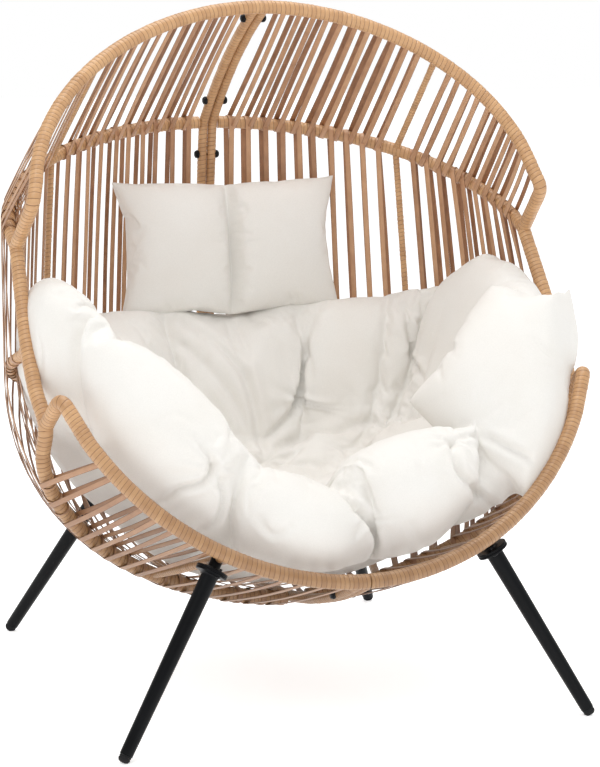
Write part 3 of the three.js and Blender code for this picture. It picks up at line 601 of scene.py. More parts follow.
def beltPanel(name, face, fromU, toU, count, side, seed, nodes):
    draw = np.random.default_rng(seed)
    startRadius, endRadius = radius[faces[face][4]], radius[faces[face][5]]
    startLift = slat["sunk"] if face in ("canopy", "front") else slat["proud"]
    endLift = slat["proud"]
    step = (toU - fromU) / count
    u = fromU + step * (np.arange(count) + 0.5 + slat["shift"] * draw.uniform(-1, 1, count))
    run, turn = slat["runStations"], slat["turnStations"]
    v = np.concatenate([np.linspace(0, 1, run), np.ones(turn), np.linspace(1, 0, run),
                        np.zeros(turn)])
    angle = np.concatenate([np.zeros(run), np.pi * np.arange(1, turn + 1) / (turn + 1),
                            np.full(run, np.pi), np.pi * np.arange(turn, 0, -1) / (turn + 1)])
    heading = np.where(np.arange(len(v)) < 2 * run + turn, 1.0, -1.0)
    point, alongV, normal, across = faceFrame(face, u[:, None], v[None, :])
    reach = (startRadius + startLift) * (1 - v) + (endRadius + endLift) * v
    radial = normal * np.cos(angle)[:, None] + alongV * (np.sin(angle) * heading)[:, None]
    inside = np.cos(angle) < 0
    phase = draw.uniform(-1, 1, (count, 4))
    sway = slat["sway"] * np.sin(math.pi * v) * np.where(inside, phase[:, :1], phase[:, 1:2])
    sway = sway - slat["split"] * np.cos(angle)
    twist = slat["twist"] * np.sin(math.pi * v) * np.where(inside, phase[:, 2:3], phase[:, 3:4])
    middle = point + radial * reach[None, :, None] + across * sway[..., None]
    flatWay = across * np.cos(twist)[..., None] + radial * np.sin(twist)[..., None]
    thickWay = radial * np.cos(twist)[..., None] - across * np.sin(twist)[..., None]
    half = np.array([slat["width"] / 2, slat["thickness"] / 2])
    section = slatSection * half
    points = (middle[:, :, None] + flatWay[:, :, None] * section[:, 0][:, None]
              + thickWay[:, :, None] * section[:, 1][:, None])
    stations, corners = len(v), len(section)
    one = gridQuads(stations, corners, True, True)
    quads = (one[None] + (np.arange(count) * stations * corners)[:, None, None]).reshape(-1, 4)
    length = np.concatenate([np.zeros((count, 1)), np.cumsum(np.linalg.norm(
        np.diff(middle, axis=1), axis=2), axis=1)], 1)
    length = length + draw.uniform(0, 50, (count, 1))
    acrossShare = (section[:, 0] / slat["width"] + 0.5)
    u0 = np.repeat(length[:, :, None], corners, 2).ravel()
    v0 = np.broadcast_to(acrossShare, (count, stations, corners)).ravel()
    uv = np.stack([u0[quads], v0[quads]], -1)
    wrapped = np.abs(uv[:, :, 0].max(1) - uv[:, :, 0].min(1)) > 0.3
    uv[wrapped, :, 0] = uv[wrapped, :, 0].max(1)[:, None]
    toneAndShade = np.broadcast_to(0.35 + 0.65 * draw.random((count, 1)), (count, stations))
    # painted shade: on each belt's outer run, the side facing into the egg keeps only slat["shade"]
    # of its tone
    unshaded = np.where(inside, 1.0, 0.0)[None, :, None] + (section[:, 1] > -1e-6)[None, None, :]
    values = {"toneAndShade": toneAndShade[:, :, None] * np.where(unshaded > 0, 1.0, slat["shade"])}
    points = points.reshape(-1, 3) * np.array([side, 1.0, 1.0])
    piece = addPiece(name, points, quads, slatWicker, "frame", uv, values,
                     weld=1e-7)
    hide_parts(*nodes)
    return piece


panels = [
    ("canopy_slats_rear", "canopy", None, ribU - ribClearance, 11),
    ("canopy_slats_side", "canopy", ribU + ribClearance, 0.93, 11),
    ("back_slats_rear", "back", None, ribU - ribClearance, 10),
    ("back_slats_side", "back", ribU + ribClearance, 0.95, 10),
    ("bowl_slats_rear", "bowl", None, backBaseU - ribClearance, 3),
    ("bowl_slats_side", "bowl", backBaseU + ribClearance, 0.88, 12),
    ("front_slats_middle", "front", None, frontBaseU - ribClearance, 6),
    ("front_slats_side", "front", frontBaseU + ribClearance, 0.96, 8),
]
for seed, (sideName, side) in enumerate(sides.items()):
    for index, (name, face, fromU, toU, count) in enumerate(panels):
        if fromU is None:
            fromU = leaveSpine(lambda u: facePoint(face, u, 0.5), spineEdge + 0.014)
        beltPanel(f"{name.replace('slats', 'belts')}_{sideName}", face, fromU, toU, count, side,
                  500 + 50 * seed + index, [f"{name}_{sideName}"])
print("slats ready")


# Turned pieces sweep a profile of (radius, distance along the axis) round that axis.
def turned(profile, point, axis, around, closed=True):
    profile = np.array(profile, float)
    axis = unit(np.asarray(axis, float))
    level = unit(np.cross([0.0, 0.0, 1.0], axis) + np.array([1e-9, 0.0, 0.0]))
    other = np.cross(axis, level)
    angle = np.linspace(0, 2 * math.pi, around, endpoint=False)
    ring = np.cos(angle)[:, None] * level + np.sin(angle)[:, None] * other
    points = point + profile[:, None, :1] * ring + (profile[:, 1:, None] * axis)
    return points.reshape(-1, 3), gridQuads(len(profile), around, False, True)


# Rounds the corners of a profile by replacing each inner corner with a short quadratic curve.
def eased(profile, cut, steps=4):
    profile = np.array(profile, float)
    rows = [profile[:1]]
    for before, turn, after in zip(profile[:-2], profile[1:-1], profile[2:]):
        reach = min(cut, np.linalg.norm(turn - before) / 2.2, np.linalg.norm(after - turn) / 2.2)
        rows.append(corner(before, turn, after, reach, steps))
    return np.vstack(rows + [profile[-1:]])


def joinedArrays(parts):
    points, quads, start = [], [], 0
    for somePoints, someQuads in parts:
        points.append(somePoints)
        quads.append(someQuads + start)
        start += len(somePoints)
    return np.vstack(points), np.vstack(quads)


leg = {
    "length": 0.385, "topRadius": 0.017, "footRadius": 0.013, "flangeRadius": 0.032,
    "flange": 0.005, "screwSpread": 0.023, "gap": 0.00035, "stubRadius": 0.012,
    "weld": 0.005, "glideLength": 0.014, "glideStem": 0.005, "glideStemLength": 0.026,
    "fillet": 0.004, "boreSlack": 0.0006, "boreSpare": 0.002, "screwHead": 0.005,
    "screwHeadHeight": 0.0035, "screwRadius": 0.0026, "screwTip": 0.006,
}
footLevel = 0.002
corners = [
    ("front", "front", frontBaseU, 0.13, np.array([0.495, -0.493, footLevel])),
    ("back", "bowl", backBaseU, 0.24, np.array([0.431, 0.506, footLevel])),
]


def addTurned(name, parts, material, body, nodes, weld=1e-6):
    points, quads = joinedArrays(parts)
    piece = addPiece(name, points, quads, material, body, weld=weld)
    if nodes:
        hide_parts(*nodes)
    return piece


# A socket screw: a domed head with a round socket recess over a plain shank.
def screwParts(point, axis, headRadius, headHeight, shank, shankRadius):
    profile = [[0, -shank], [shankRadius, -shank], [shankRadius, 0], [headRadius, 0],
               [headRadius, headHeight * 0.55], [headRadius * 0.72, headHeight],
               [headRadius * 0.5, headHeight], [headRadius * 0.46, headHeight * 0.45],
               [0, headHeight * 0.4]]
    return turned(eased(profile, 0.0005, 3), point, axis, 24)


for sideName, side in sides.items():
    for end, face, u, v, foot in corners:
        mirror = np.array([side, 1.0, 1.0])
        start = facePoint(face, u, v) * mirror
        axis = foot * mirror - start
        reach = np.linalg.norm(axis)
        axis = axis / reach
        stub = reach - leg["length"] - leg["glideLength"] - leg["flange"] - 2 * leg["gap"]
        plate = [[0, 0], [leg["stubRadius"], 0], [leg["stubRadius"], stub - leg["fillet"]],
                 [leg["stubRadius"] + leg["fillet"], stub], [leg["flangeRadius"], stub],
                 [leg["flangeRadius"], stub + leg["flange"]], [0, stub + leg["flange"]]]
        where = f"{end}_{sideName}"
        addTurned(f"leg_plate_{where}", [turned(eased(plate, 0.0012), start, axis, 48)],
                  blackSteel, "frame", [])
        top = start + axis * (stub + leg["flange"] + leg["gap"])
        bore = leg["glideStem"] + leg["boreSlack"]
        boreDepth = leg["glideStemLength"] + leg["boreSpare"]
        tube = [[0, 0], [leg["flangeRadius"], 0], [leg["flangeRadius"], leg["flange"]],
                [leg["topRadius"] + leg["weld"], leg["flange"]],
                [leg["topRadius"] + leg["weld"] * 0.35, leg["flange"] + leg["weld"] * 0.4],
                [leg["topRadius"], leg["flange"] + leg["weld"]],
                [leg["footRadius"], leg["length"]], [bore, leg["length"]],
                [bore, leg["length"] - boreDepth], [0, leg["length"] - boreDepth]]
        addTurned(f"leg_tube_{where}", [turned(eased(tube, 0.0014), top, axis, 48)],
                  blackSteel, "frame", [f"leg_{where}"])
        level = unit(np.cross([0.0, 0.0, 1.0], axis)) * leg["screwSpread"]
        for number, offset in ((1, level), (2, -level)):
            head = top + offset + axis * (leg["flange"] + leg["gap"])
            shank = leg["flange"] * 2 + leg["screwTip"]
            addTurned(f"plate_screw_{where}_{number}",
                      [screwParts(head, axis, leg["screwHead"], leg["screwHeadHeight"], shank,
                                  leg["screwRadius"])],
                      boltSteel, "frame", [f"leg_screw_{where}_{number}"])
        glideTop = top + axis * (leg["length"] + leg["gap"])
        r = leg["footRadius"] * 0.92
        glide = [[0, -leg["glideStemLength"]], [leg["glideStem"], -leg["glideStemLength"]],
                 [leg["glideStem"], 0], [r, 0], [r, 0.0026], [r * 0.93, 0.0034],
                 [r * 0.93, 0.0046], [r, 0.0054], [r, 0.0078], [r * 0.8, 0.012],
                 [r * 0.4, 0.014], [0, 0.014]]
        points, quads = turned(eased(glide, 0.0008), glideTop, axis, 36)
        points[:, 2] = np.maximum(points[:, 2], 0.0)
        addTurned(f"glide_tip_{where}", [(points, quads)], blackRubber,
                  f"glide_{where}", [f"glide_{where}"])
print("legs ready")

# The spine bolts: a washer and a domed hexagon head on each side of the double spine.
spineBolts = {"top": ("canopy", 0.12), "upper": ("canopy", 0.84), "middle": ("back", 0.12),
              "bottom": ("front", 0.35)}


# A hexagon that turns round towards its dome: radius = flat / cos(angle within a sixth).
def hexHead(point, axis, across, height):
    rows = np.array([[0.0, 0.0], [1.0, 0.0], [1.0, 0.55], [0.9, 0.72], [0.7, 0.9], [0.4, 0.98],
                     [0.0, 1.0]])
    around = 36
    points, quads = turned(rows * [across, height], point, axis, around)
    angle = np.linspace(0, 2 * math.pi, around, endpoint=False)
    within = (angle + math.pi / 6) % (math.pi / 3) - math.pi / 6
    swell = 1 / np.cos(within)
    share = np.clip(1.6 - 1.6 * rows[:, 1], 0, 1)[:, None]
    factor = 1 + (swell[None, :] - 1) * share
    centre = np.asarray(point) + rows[:, 1][:, None, None] * height * unit(np.asarray(axis, float))
    grid = points.reshape(len(rows), around, 3)
    return (centre + (grid - centre) * factor[..., None]).reshape(-1, 3), quads


for name, (face, v) in spineBolts.items():
    middle = facePoint(face, 0.0, v, True)
    reach = spineEdge + leg["gap"]
    parts = [turned([[0, -reach], [0.003, -reach], [0.003, reach], [0, reach]],
                    middle, np.array([1.0, 0, 0]), 20)]
    for side in sides.values():
        seat = middle + np.array([side * reach, 0, 0])
        axis = np.array([side, 0.0, 0.0])
        washer = [[0, -0.0040], [0.0088, -0.0040], [0.0088, 0.0008], [0, 0.0008]]
        parts.append(turned(eased(washer, 0.0006), seat, axis, 36))
        parts.append(hexHead(seat + axis * 0.0008, axis, 0.0070, 0.0044))
    addTurned(f"spine_bolt_set_{name}", parts, boltSteel, "frame",
              [f"spine_bolt_{name}"])
print("bolts ready")


# Runs Blender's cloth on a closed mesh: pressure swells it, points move no further than a cap.
def simulateCloth(piece, settings, pinned=None):
    mesh = piece.data
    before = np.zeros(len(mesh.vertices) * 3, np.float32)
    mesh.vertices.foreach_get("co", before)
    before = before.reshape(-1, 3)
    cloth = piece.modifiers.new("cloth", "CLOTH")
    cloth.settings.quality = settings["quality"]
    cloth.settings.mass = settings["mass"]
    cloth.settings.tension_stiffness = settings["tension"]
    cloth.settings.compression_stiffness = settings["tension"]
    cloth.settings.shear_stiffness = settings["shear"]
    cloth.settings.bending_stiffness = settings["bending"]
    cloth.settings.air_damping = 2.0
    cloth.settings.use_pressure = True
    cloth.settings.uniform_pressure_force = settings["pressure"]
    cloth.settings.shrink_min = settings["shrink"]
    cloth.settings.effector_weights.gravity = 0.0
    cloth.collision_settings.use_collision = False
    if pinned is not None:
        group = piece.vertex_groups.new(name="held")
        for level in (0.25, 0.5, 0.75, 1.0):
            chosen = np.flatnonzero((pinned > level - 0.125) & (pinned <= level + 0.125))
            group.add(chosen.tolist(), level, "REPLACE")
        cloth.settings.vertex_group_mass = "held"
        cloth.settings.pin_stiffness = settings["pin"]
    scene = bpy.context.scene
    for number in range(1, settings["frames"] + 1):
        scene.frame_set(number)
    evaluated = piece.evaluated_get(bpy.context.evaluated_depsgraph_get())
    after = np.zeros(len(mesh.vertices) * 3, np.float32)
    evaluated.data.vertices.foreach_get("co", after)
    piece.modifiers.remove(cloth)
    piece.vertex_groups.clear()
    move = after.reshape(-1, 3) - before
    length = np.linalg.norm(move, axis=1, keepdims=True)
    cap = settings["cap"]
    move = move * np.where(length > 1e-9, cap * np.tanh(length / cap) / np.maximum(length, 1e-9), 0)
    mesh.vertices.foreach_set("co", (before + move).astype(np.float32).ravel())
    mesh.update()
    scene.frame_set(1)


def applyModifiers(piece):
    evaluated = piece.evaluated_get(bpy.context.evaluated_depsgraph_get())
    mesh = bpy.data.meshes.new_from_object(evaluated)
    piece.modifiers.clear()
    old = piece.data
    piece.data = mesh
    bpy.data.meshes.remove(old)


def remesh(piece, voxel):
    modifier = piece.modifiers.new("remesh", "REMESH")
    modifier.mode = "VOXEL"
    modifier.voxel_size = voxel
    applyModifiers(piece)


def relax(piece, times):
    modifier = piece.modifiers.new("relax", "SMOOTH")
    modifier.factor, modifier.iterations = 0.5, times
    applyModifiers(piece)


def smoothOnce(piece, level=1):
    modifier = piece.modifiers.new("smooth", "SUBSURF")
    modifier.levels = modifier.render_levels = level
    applyModifiers(piece)
    piece.data.shade_smooth()


def readVectors(items, key):
    values = np.zeros(len(items) * 3, np.float32)
    items.foreach_get(key, values)
    return values.reshape(-1, 3).astype(float)


def meshPoints(mesh):
    return readVectors(mesh.vertices, "co")


def setPoints(mesh, points):
    mesh.vertices.foreach_set("co", points.astype(np.float32).ravel())
    mesh.update()


# Holds points behind the slanted opening close to its hoop, and within the side tubes. The hoop
# share is 1 on the lower hoop; how far a point may stand out falls as the share nears 1, and
# points at the front that pass the hoop are drawn back inside it.
def keepInside(points):
    x, y, z = points.T
    hoop, soft = egg["lowerHoop"], nest["soft"]
    upPlane = z * math.hypot(1.0, egg["openingSlope"])
    drop = np.maximum(hoop["middle"] - upPlane, 0.0) / hoop["drop"]
    share = ((np.abs(x) / hoop["halfWidth"]) ** 2 + drop ** 2) ** 0.5
    near = np.clip((share - 0.78) / 0.22, 0, 1)
    allowed = nest["standOut"] * (1 - near * near * (3 - 2 * near)) - nest["behind"]
    front = egg["openingBase"] + egg["openingSlope"] * z - allowed
    y = y + soft * np.logaddexp(0.0, (front - y) / soft)
    over = np.maximum(share - nest["hoopShare"], 0.0) / np.maximum(share, 1e-6)
    over = over * np.clip((nest["frontFrom"] - y) / 0.12, 0, 1)
    x = x * (1 - over)
    z = z + over * drop * hoop["drop"] / math.hypot(1.0, egg["openingSlope"])
    wide = np.maximum(np.abs(x) - nest["inside"], 0)
    x = x - np.sign(x) * (wide - nest["sideSoft"] * np.tanh(wide / nest["sideSoft"]))
    return np.stack([x, y, z], -1)


# The nest cushion is a bowl of stuffed lobes round a seat pad. Each lobe is a swelling on a
# patch of the bowl's middle surface: azimuth from, azimuth to (degrees, 0 at the right,
# 90 at the back), share of the way up from, to, thickness, and a shift inwards.
nest = {
    "bottom": (0.0, -0.045, 0.322),
    "crest": [
        (0, 0.496, -0.045, 0.850), (10, 0.486, 0.045, 0.858), (25, 0.440, 0.150, 0.790),
        (45, 0.345, 0.245, 0.750), (70, 0.160, 0.300, 0.738), (90, 0.0, 0.312, 0.734),
        (110, -0.160, 0.300, 0.736), (135, -0.320, 0.225, 0.750), (158, -0.440, 0.090, 0.785),
        (180, -0.508, -0.045, 0.858), (190, -0.512, -0.130, 0.862), (197, -0.478, -0.195, 0.840),
        (205, -0.425, -0.235, 0.795), (213, -0.365, -0.275, 0.755), (222, -0.300, -0.310, 0.695),
        (232, -0.238, -0.345, 0.615), (245, -0.175, -0.370, 0.530), (258, -0.085, -0.390, 0.486),
        (271, 0.002, -0.395, 0.462), (275, 0.022, -0.375, 0.522), (288, 0.110, -0.365, 0.550),
        (302, 0.200, -0.345, 0.565),
        (315, 0.300, -0.330, 0.580), (322, 0.375, -0.320, 0.640), (334, 0.465, -0.265, 0.770),
        (345, 0.490, -0.205, 0.810),
    ],
    "lobes": [
        (156, 203, 0.30, 1.00, 0.130, 0.000), (200, 240, 0.24, 1.00, 0.175, 0.040),
        (238, 274, 0.28, 1.00, 0.185, 0.010), (272, 314, 0.28, 1.00, 0.190, 0.008),
        (309, 346, 0.26, 0.84, 0.170, 0.010), (338, 391, 0.30, 1.00, 0.125, 0.000),
        (389, 431, 0.25, 1.00, 0.150, 0.000), (429, 471, 0.25, 1.00, 0.150, 0.000),
        (469, 517, 0.25, 1.00, 0.150, 0.000),
    ],
    "flap": [(0.215, -0.180, 0.585), (0.400, -0.420, 0.395), (0.405, -0.165, 0.810),
             (0.580, -0.262, 0.806)],
    "flapThickness": 0.165,
    "seatReach": 0.52, "seatThickness": 0.165,
    "voxel": 0.0075, "inside": 0.548, "sideSoft": 0.020, "soft": 0.006, "standOut": 0.085,
    "behind": 0.004, "hoopShare": 0.990, "frontFrom": -0.10, "seamReach": 0.022,
    "cloth": {"quality": 4, "mass": 0.25, "tension": 10.0, "shear": 3.0, "bending": 0.12,
              "pressure": 3.0, "shrink": -0.11, "frames": 20, "cap": 0.026, "pin": 1.0},
}


# The bowl's middle surface: from the bottom out to the crest, out = sin, up = 1 - cos.
def nestMiddle(azimuth, share):
    degrees = np.degrees(azimuth) % 360
    table = np.array(nest["crest"] + nest["crest"][:1], float)
    table[-1, 0] = 360.0
    crest = [np.interp(degrees, table[:, 0], table[:, column]) for column in (1, 2, 3)]
    bottom = nest["bottom"]
    out, up = np.sin(share * math.pi / 2) ** 0.92, 1 - np.cos(share * math.pi / 2)
    return np.stack([bottom[0] + (crest[0] - bottom[0]) * out,
                     bottom[1] + (crest[1] - bottom[1]) * out,
                     bottom[2] + (crest[2] - bottom[2]) * up], -1)


def nestNormal(azimuth, share, reach=0.01):
    alongA = nestMiddle(azimuth + reach, share) - nestMiddle(azimuth - reach, share)
    alongS = nestMiddle(azimuth, share + reach) - nestMiddle(azimuth, share - reach)
    return unit(np.cross(alongA, alongS))


# Two grids of points, middle plus and minus push, that meet where push is 0.
def twoSkins(middle, push, wrapColumns=False):
    rows, columns = middle.shape[:2]
    points = np.vstack([(middle + push * way).reshape(-1, 3) for way in (1, -1)])
    front = gridQuads(rows, columns, False, wrapColumns)
    back = front[:, ::-1] + rows * columns
    return points, np.vstack([front, back])


# A swelling's two skins: middle surface plus and minus half the thickness times
# (1 - |a|^p)^(1/2) (1 - |s|^q)^(1/2), where a and s run from -1 to 1 over the patch.
def lobeGrid(lobe, rows=44, columns=44):
    fromA, toA, fromS, toS, thickness, inward = lobe
    a = -np.cos(np.linspace(0, math.pi, columns))[None, :]
    s = -np.cos(np.linspace(0, math.pi, rows))[:, None]
    azimuth = np.radians((fromA + toA) / 2 + a * (toA - fromA) / 2) + 0 * s
    share = (fromS + toS) / 2 + s * (toS - fromS) / 2 + 0 * a
    crown = np.sqrt(np.maximum(1 - np.abs(a) ** 2.3, 0) * np.maximum(1 - np.abs(s) ** 3.4, 0))
    middle, normal = nestMiddle(azimuth, share), nestNormal(azimuth, np.clip(share, 0.02, 1))
    middle = middle + normal * inward * (crown > 0)[..., None] * np.clip(share, 0, 1)[..., None]
    return twoSkins(middle, normal * (crown * thickness / 2)[..., None])


# The flap at the right front: the same swelling on the four-cornered patch between its corners.
def flapGrid(rows=44, columns=44):
    a = -np.cos(np.linspace(0, math.pi, columns))[None, :, None]
    s = -np.cos(np.linspace(0, math.pi, rows))[:, None, None]
    low = [np.array(corner) for corner in nest["flap"]]
    across = [low[1] - low[0], low[3] - low[2]]
    middle = ((low[0] + across[0] * (a + 1) / 2) * (1 - s) / 2
              + (low[2] + across[1] * (a + 1) / 2) * (1 + s) / 2)
    alongA = across[0] * (1 - s) + across[1] * (1 + s) + 0 * a
    alongS = (low[2] - low[0]) * (1 - a) + (low[3] - low[1]) * (1 + a) + 0 * s
    normal = unit(np.cross(alongA, alongS))
    crown = np.sqrt(np.maximum(1 - np.abs(a) ** 2.3, 0) * np.maximum(1 - np.abs(s) ** 2.6, 0))
    return twoSkins(middle, normal * crown * nest["flapThickness"] / 2)


def seatGrid(rows=40, columns=64):
    toS, thickness = nest["seatReach"], nest["seatThickness"]
    azimuth = np.linspace(0, 2 * math.pi, columns, endpoint=False)[None, :]
    s = np.sin(np.linspace(0, math.pi / 2, rows))[:, None]
    share = s * toS + 0 * azimuth
    azimuth = azimuth + 0 * s
    crown = np.sqrt(np.maximum(1 - s ** 3.0, 0)) + 0 * azimuth
    middle = nestMiddle(azimuth, share)
    normal = nestNormal(azimuth, np.clip(share, 0.02, 1))
    return twoSkins(middle, normal * (crown * thickness / 2)[..., None], True)


points, quads = joinedArrays([lobeGrid(lobe) for lobe in nest["lobes"]] + [flapGrid(), seatGrid()])
seatCushion = addPiece("nest_cushion", points, quads, ivoryFabric, "cushion",
                       weld=2e-5)
remesh(seatCushion, nest["voxel"])
relax(seatCushion, 6)
setPoints(seatCushion.data, keepInside(meshPoints(seatCushion.data)))
print("nest cushion remeshed:", len(seatCushion.data.vertices), "points")


# Creases pressed into the cushion after its cloth has settled: depth, half width, and the line
# that each one follows. Tufts: where, depth, reach, how many puckers radiate, and their turn.
creases = [
    (0.013, 0.0080, [(0.357, 0.175, 0.726), (0.358, 0.159, 0.690), (0.368, 0.147, 0.643),
                     (0.357, 0.060, 0.597)]),
    (0.014, 0.0090, [(0.192, 0.266, 0.713), (0.163, 0.257, 0.659), (0.139, 0.247, 0.596),
                     (0.117, 0.217, 0.539), (0.086, 0.190, 0.515), (0.035, 0.158, 0.485)]),
    (0.013, 0.0090, [(-0.117, 0.283, 0.711), (-0.046, 0.245, 0.662), (-0.004, 0.223, 0.607),
                     (0.014, 0.188, 0.532), (0.018, 0.149, 0.474), (0.000, 0.101, 0.433)]),
    (0.008, 0.0090, [(-0.192, 0.254, 0.711), (-0.104, 0.247, 0.650), (-0.038, 0.209, 0.573),
                     (0.005, 0.158, 0.486)]),
    (0.007, 0.0080, [(-0.022, 0.274, 0.702), (-0.002, 0.241, 0.650), (0.008, 0.217, 0.593)]),
    (0.012, 0.0075, [(-0.317, -0.402, 0.607), (-0.298, -0.411, 0.577), (-0.287, -0.416, 0.552),
                     (-0.304, -0.406, 0.526), (-0.341, -0.380, 0.509), (-0.357, -0.346, 0.480)]),
    (0.009, 0.0075, [(-0.287, -0.416, 0.552), (-0.260, -0.405, 0.501), (-0.264, -0.384, 0.452),
                     (-0.285, -0.364, 0.429)]),
    (0.019, 0.0085, [(-0.030, -0.400, 0.475), (-0.011, -0.421, 0.462), (0.023, -0.432, 0.438),
                     (0.049, -0.404, 0.390), (0.058, -0.359, 0.343)]),
    (0.016, 0.0080, [(0.221, -0.384, 0.558), (0.217, -0.416, 0.512), (0.278, -0.361, 0.452),
                     (0.335, -0.334, 0.400)]),
    (0.010, 0.0070, [(0.221, -0.384, 0.558), (0.261, -0.368, 0.565), (0.318, -0.350, 0.552),
                     (0.349, -0.379, 0.533), (0.382, -0.398, 0.512), (0.412, -0.399, 0.478)]),
    (0.009, 0.0100, [(0.009, 0.107, 0.435), (0.065, 0.153, 0.466), (0.122, 0.170, 0.473),
                     (0.167, 0.132, 0.486), (0.225, 0.128, 0.510), (0.262, 0.117, 0.507),
                     (0.291, 0.054, 0.498)]),
    (0.007, 0.0060, [(0.423, -0.323, 0.727), (0.447, -0.341, 0.698), (0.483, -0.332, 0.683)]),
    (0.006, 0.0080, [(0.116, -0.429, 0.421), (0.172, -0.351, 0.347)]),
    (0.005, 0.0070, [(-0.195, -0.431, 0.453), (-0.173, -0.439, 0.422), (-0.147, -0.454, 0.439)]),
    (0.005, 0.0070, [(-0.385, -0.378, 0.634), (-0.343, -0.385, 0.645), (-0.310, -0.395, 0.625)]),
    (0.004, 0.0055, [(-0.546, -0.155, 0.770), (-0.539, -0.166, 0.738), (-0.534, -0.164, 0.698)]),
]
tufts = [
    ((-0.287, -0.416, 0.552), 0.012, 0.050, 7, 0.4), ((0.221, -0.384, 0.558), 0.012, 0.050, 7, 1.1),
    ((0.119, 0.225, 0.545), 0.014, 0.055, 8, 2.0), ((0.300, 0.060, 0.515), 0.012, 0.055, 7, 0.0),
    ((0.010, 0.110, 0.440), 0.012, 0.070, 9, 0.7), ((0.030, -0.420, 0.425), 0.006, 0.045, 6, 1.9),
]


# How far each point is pushed out (negative is in): each crease takes depth times
# exp(-(d / width)^2) and lifts its lips by a third of that, and fades towards its ends.
def pressed(points, normals):
    push = np.zeros(len(points))
    for depth, width, line in creases:
        path = evenPath(smoothThrough(np.array(line), 8), 0.005, 1)
        near = np.flatnonzero(np.all((points > path.min(0) - 6 * width)
                                     & (points < path.max(0) + 6 * width), axis=1))
        gaps = np.linalg.norm(points[near][:, None] - path[None], axis=2)
        gap, place = gaps.min(1), gaps.argmin(1) / (len(path) - 1)
        fade = np.sin(math.pi * np.clip(place, 0.06, 0.94)) ** 0.5
        groove = np.exp(-(gap / width) ** 2)
        lips = 0.34 * np.exp(-((gap - 2.2 * width) / (1.25 * width)) ** 2)
        push[near] += depth * fade * (lips - groove)
    for centre, depth, reach, count, phase in tufts:
        offset = points - np.array(centre)
        gap = np.linalg.norm(offset, axis=1)
        near = np.flatnonzero(gap < 3 * reach)
        axis = unit(normals[near[np.argmin(gap[near])]][None])[0]
        first = unit(np.cross(axis, [0.0, 0.0, 1.0])[None])[0]
        angle = np.arctan2(offset[near] @ np.cross(axis, first), offset[near] @ first)
        share = gap[near] / reach
        ripple = np.cos(count * angle + phase + 1.2 * np.sin(2 * angle)) * share
        push[near] += depth * (0.42 * ripple * np.exp(-share ** 2)
                               - np.exp(-(share / 0.35) ** 2))
    return push


# How firmly each point is held: 1 on the seams between lobes, falling to 0 within a few voxels,
# as exp(-(distance / reach)^2).
def seamHold(points, reach):
    bottom = np.array(nest["bottom"])
    flat = points - bottom
    azimuth = np.arctan2(flat[:, 1], flat[:, 0])
    share = np.linspace(0.35, 1.0, 14)
    held = np.zeros(len(points))
    for lobe, follower in zip(nest["lobes"], nest["lobes"][1:] + nest["lobes"][:1]):
        nextFrom = follower[0] + (360 if follower[0] < lobe[0] else 0)
        seam = math.radians((lobe[1] + nextFrom) / 2)
        line = nestMiddle(np.full(14, seam), share)
        turn = np.abs((azimuth - seam + math.pi) % (2 * math.pi) - math.pi)
        near = np.flatnonzero(turn < 0.35)
        distance = np.min(np.linalg.norm(points[near][:, None] - line[None], axis=2), axis=1)
        held[near] = np.maximum(held[near], np.exp(-(distance / reach) ** 2))
    return held


place = meshPoints(seatCushion.data)
rest = seatCushion.data.attributes.new("rest", "FLOAT_VECTOR", "POINT")
rest.data.foreach_set("vector", place.astype(np.float32).ravel())
simulateCloth(seatCushion, nest["cloth"], seamHold(place, nest["seamReach"]))
smoothOnce(seatCushion)
start = readVectors(seatCushion.data.attributes["rest"].data, "vector")
normals = readVectors(seatCushion.data.vertices, "normal")
settled = meshPoints(seatCushion.data) + normals * pressed(start, normals)[:, None]
setPoints(seatCushion.data, keepInside(settled))
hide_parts("seat_cushion")
print("nest cushion ready")

pillow = {
    "centre": (0.010, 0.330, 0.862), "halfWidth": 0.249, "halfHeight": 0.152, "lean": 0.20,
    "thickness": 0.050, "channel": 0.011, "dip": 0.016, "dipWidth": 0.075,
    "pull": 0.020, "channelHold": 0.007, "across": 110, "up": 64,
    "cloth": {"quality": 6, "mass": 0.2, "tension": 15.0, "shear": 5.0, "bending": 0.15,
              "pressure": 5.0, "shrink": -0.05, "frames": 20, "cap": 0.016, "pin": 1.0},
}


# A two-chamber pillow: two skins of a rectangle whose sides pull in between the corners,
# half thickness (1 - |x|^p)^a (1 - |z|^p)^a, and drawn in along a channel up the middle.
def pillowGrid():
    x = np.linspace(-1, 1, pillow["across"])[:, None]
    z = np.linspace(-1, 1, pillow["up"])[None, :]
    crown = ((1 - np.abs(x) ** 2.4) * (1 - np.abs(z) ** 2.4)) ** 0.55
    channel = 1 - 0.82 * np.exp(-(x * pillow["halfWidth"] / pillow["channel"]) ** 2)
    pull = pillow["pull"]
    px = x * pillow["halfWidth"] * (1 - pull * (1 - z ** 2))
    pz = z * pillow["halfHeight"] * (1 - pull * 1.2 * (1 - x ** 2))
    dip = pillow["dip"] * np.exp(-np.abs(x * pillow["halfWidth"]) / pillow["dipWidth"])
    pz = pz - dip * ((z + 1) / 2) ** 2
    px = px + 0 * z
    depth = pillow["thickness"] * crown * channel
    points = []
    for way in (-1, 1):
        points.append(np.stack([px, way * depth, pz], -1).reshape(-1, 3))
    front = gridQuads(pillow["across"], pillow["up"])
    back = front[:, ::-1] + pillow["across"] * pillow["up"]
    points = np.vstack(points)
    lean = pillow["lean"]
    points[:, 1], points[:, 2] = (points[:, 1] * math.cos(lean) + points[:, 2] * math.sin(lean),
                                  points[:, 2] * math.cos(lean) - points[:, 1] * math.sin(lean))
    return points + np.array(pillow["centre"]), np.vstack([front, back])


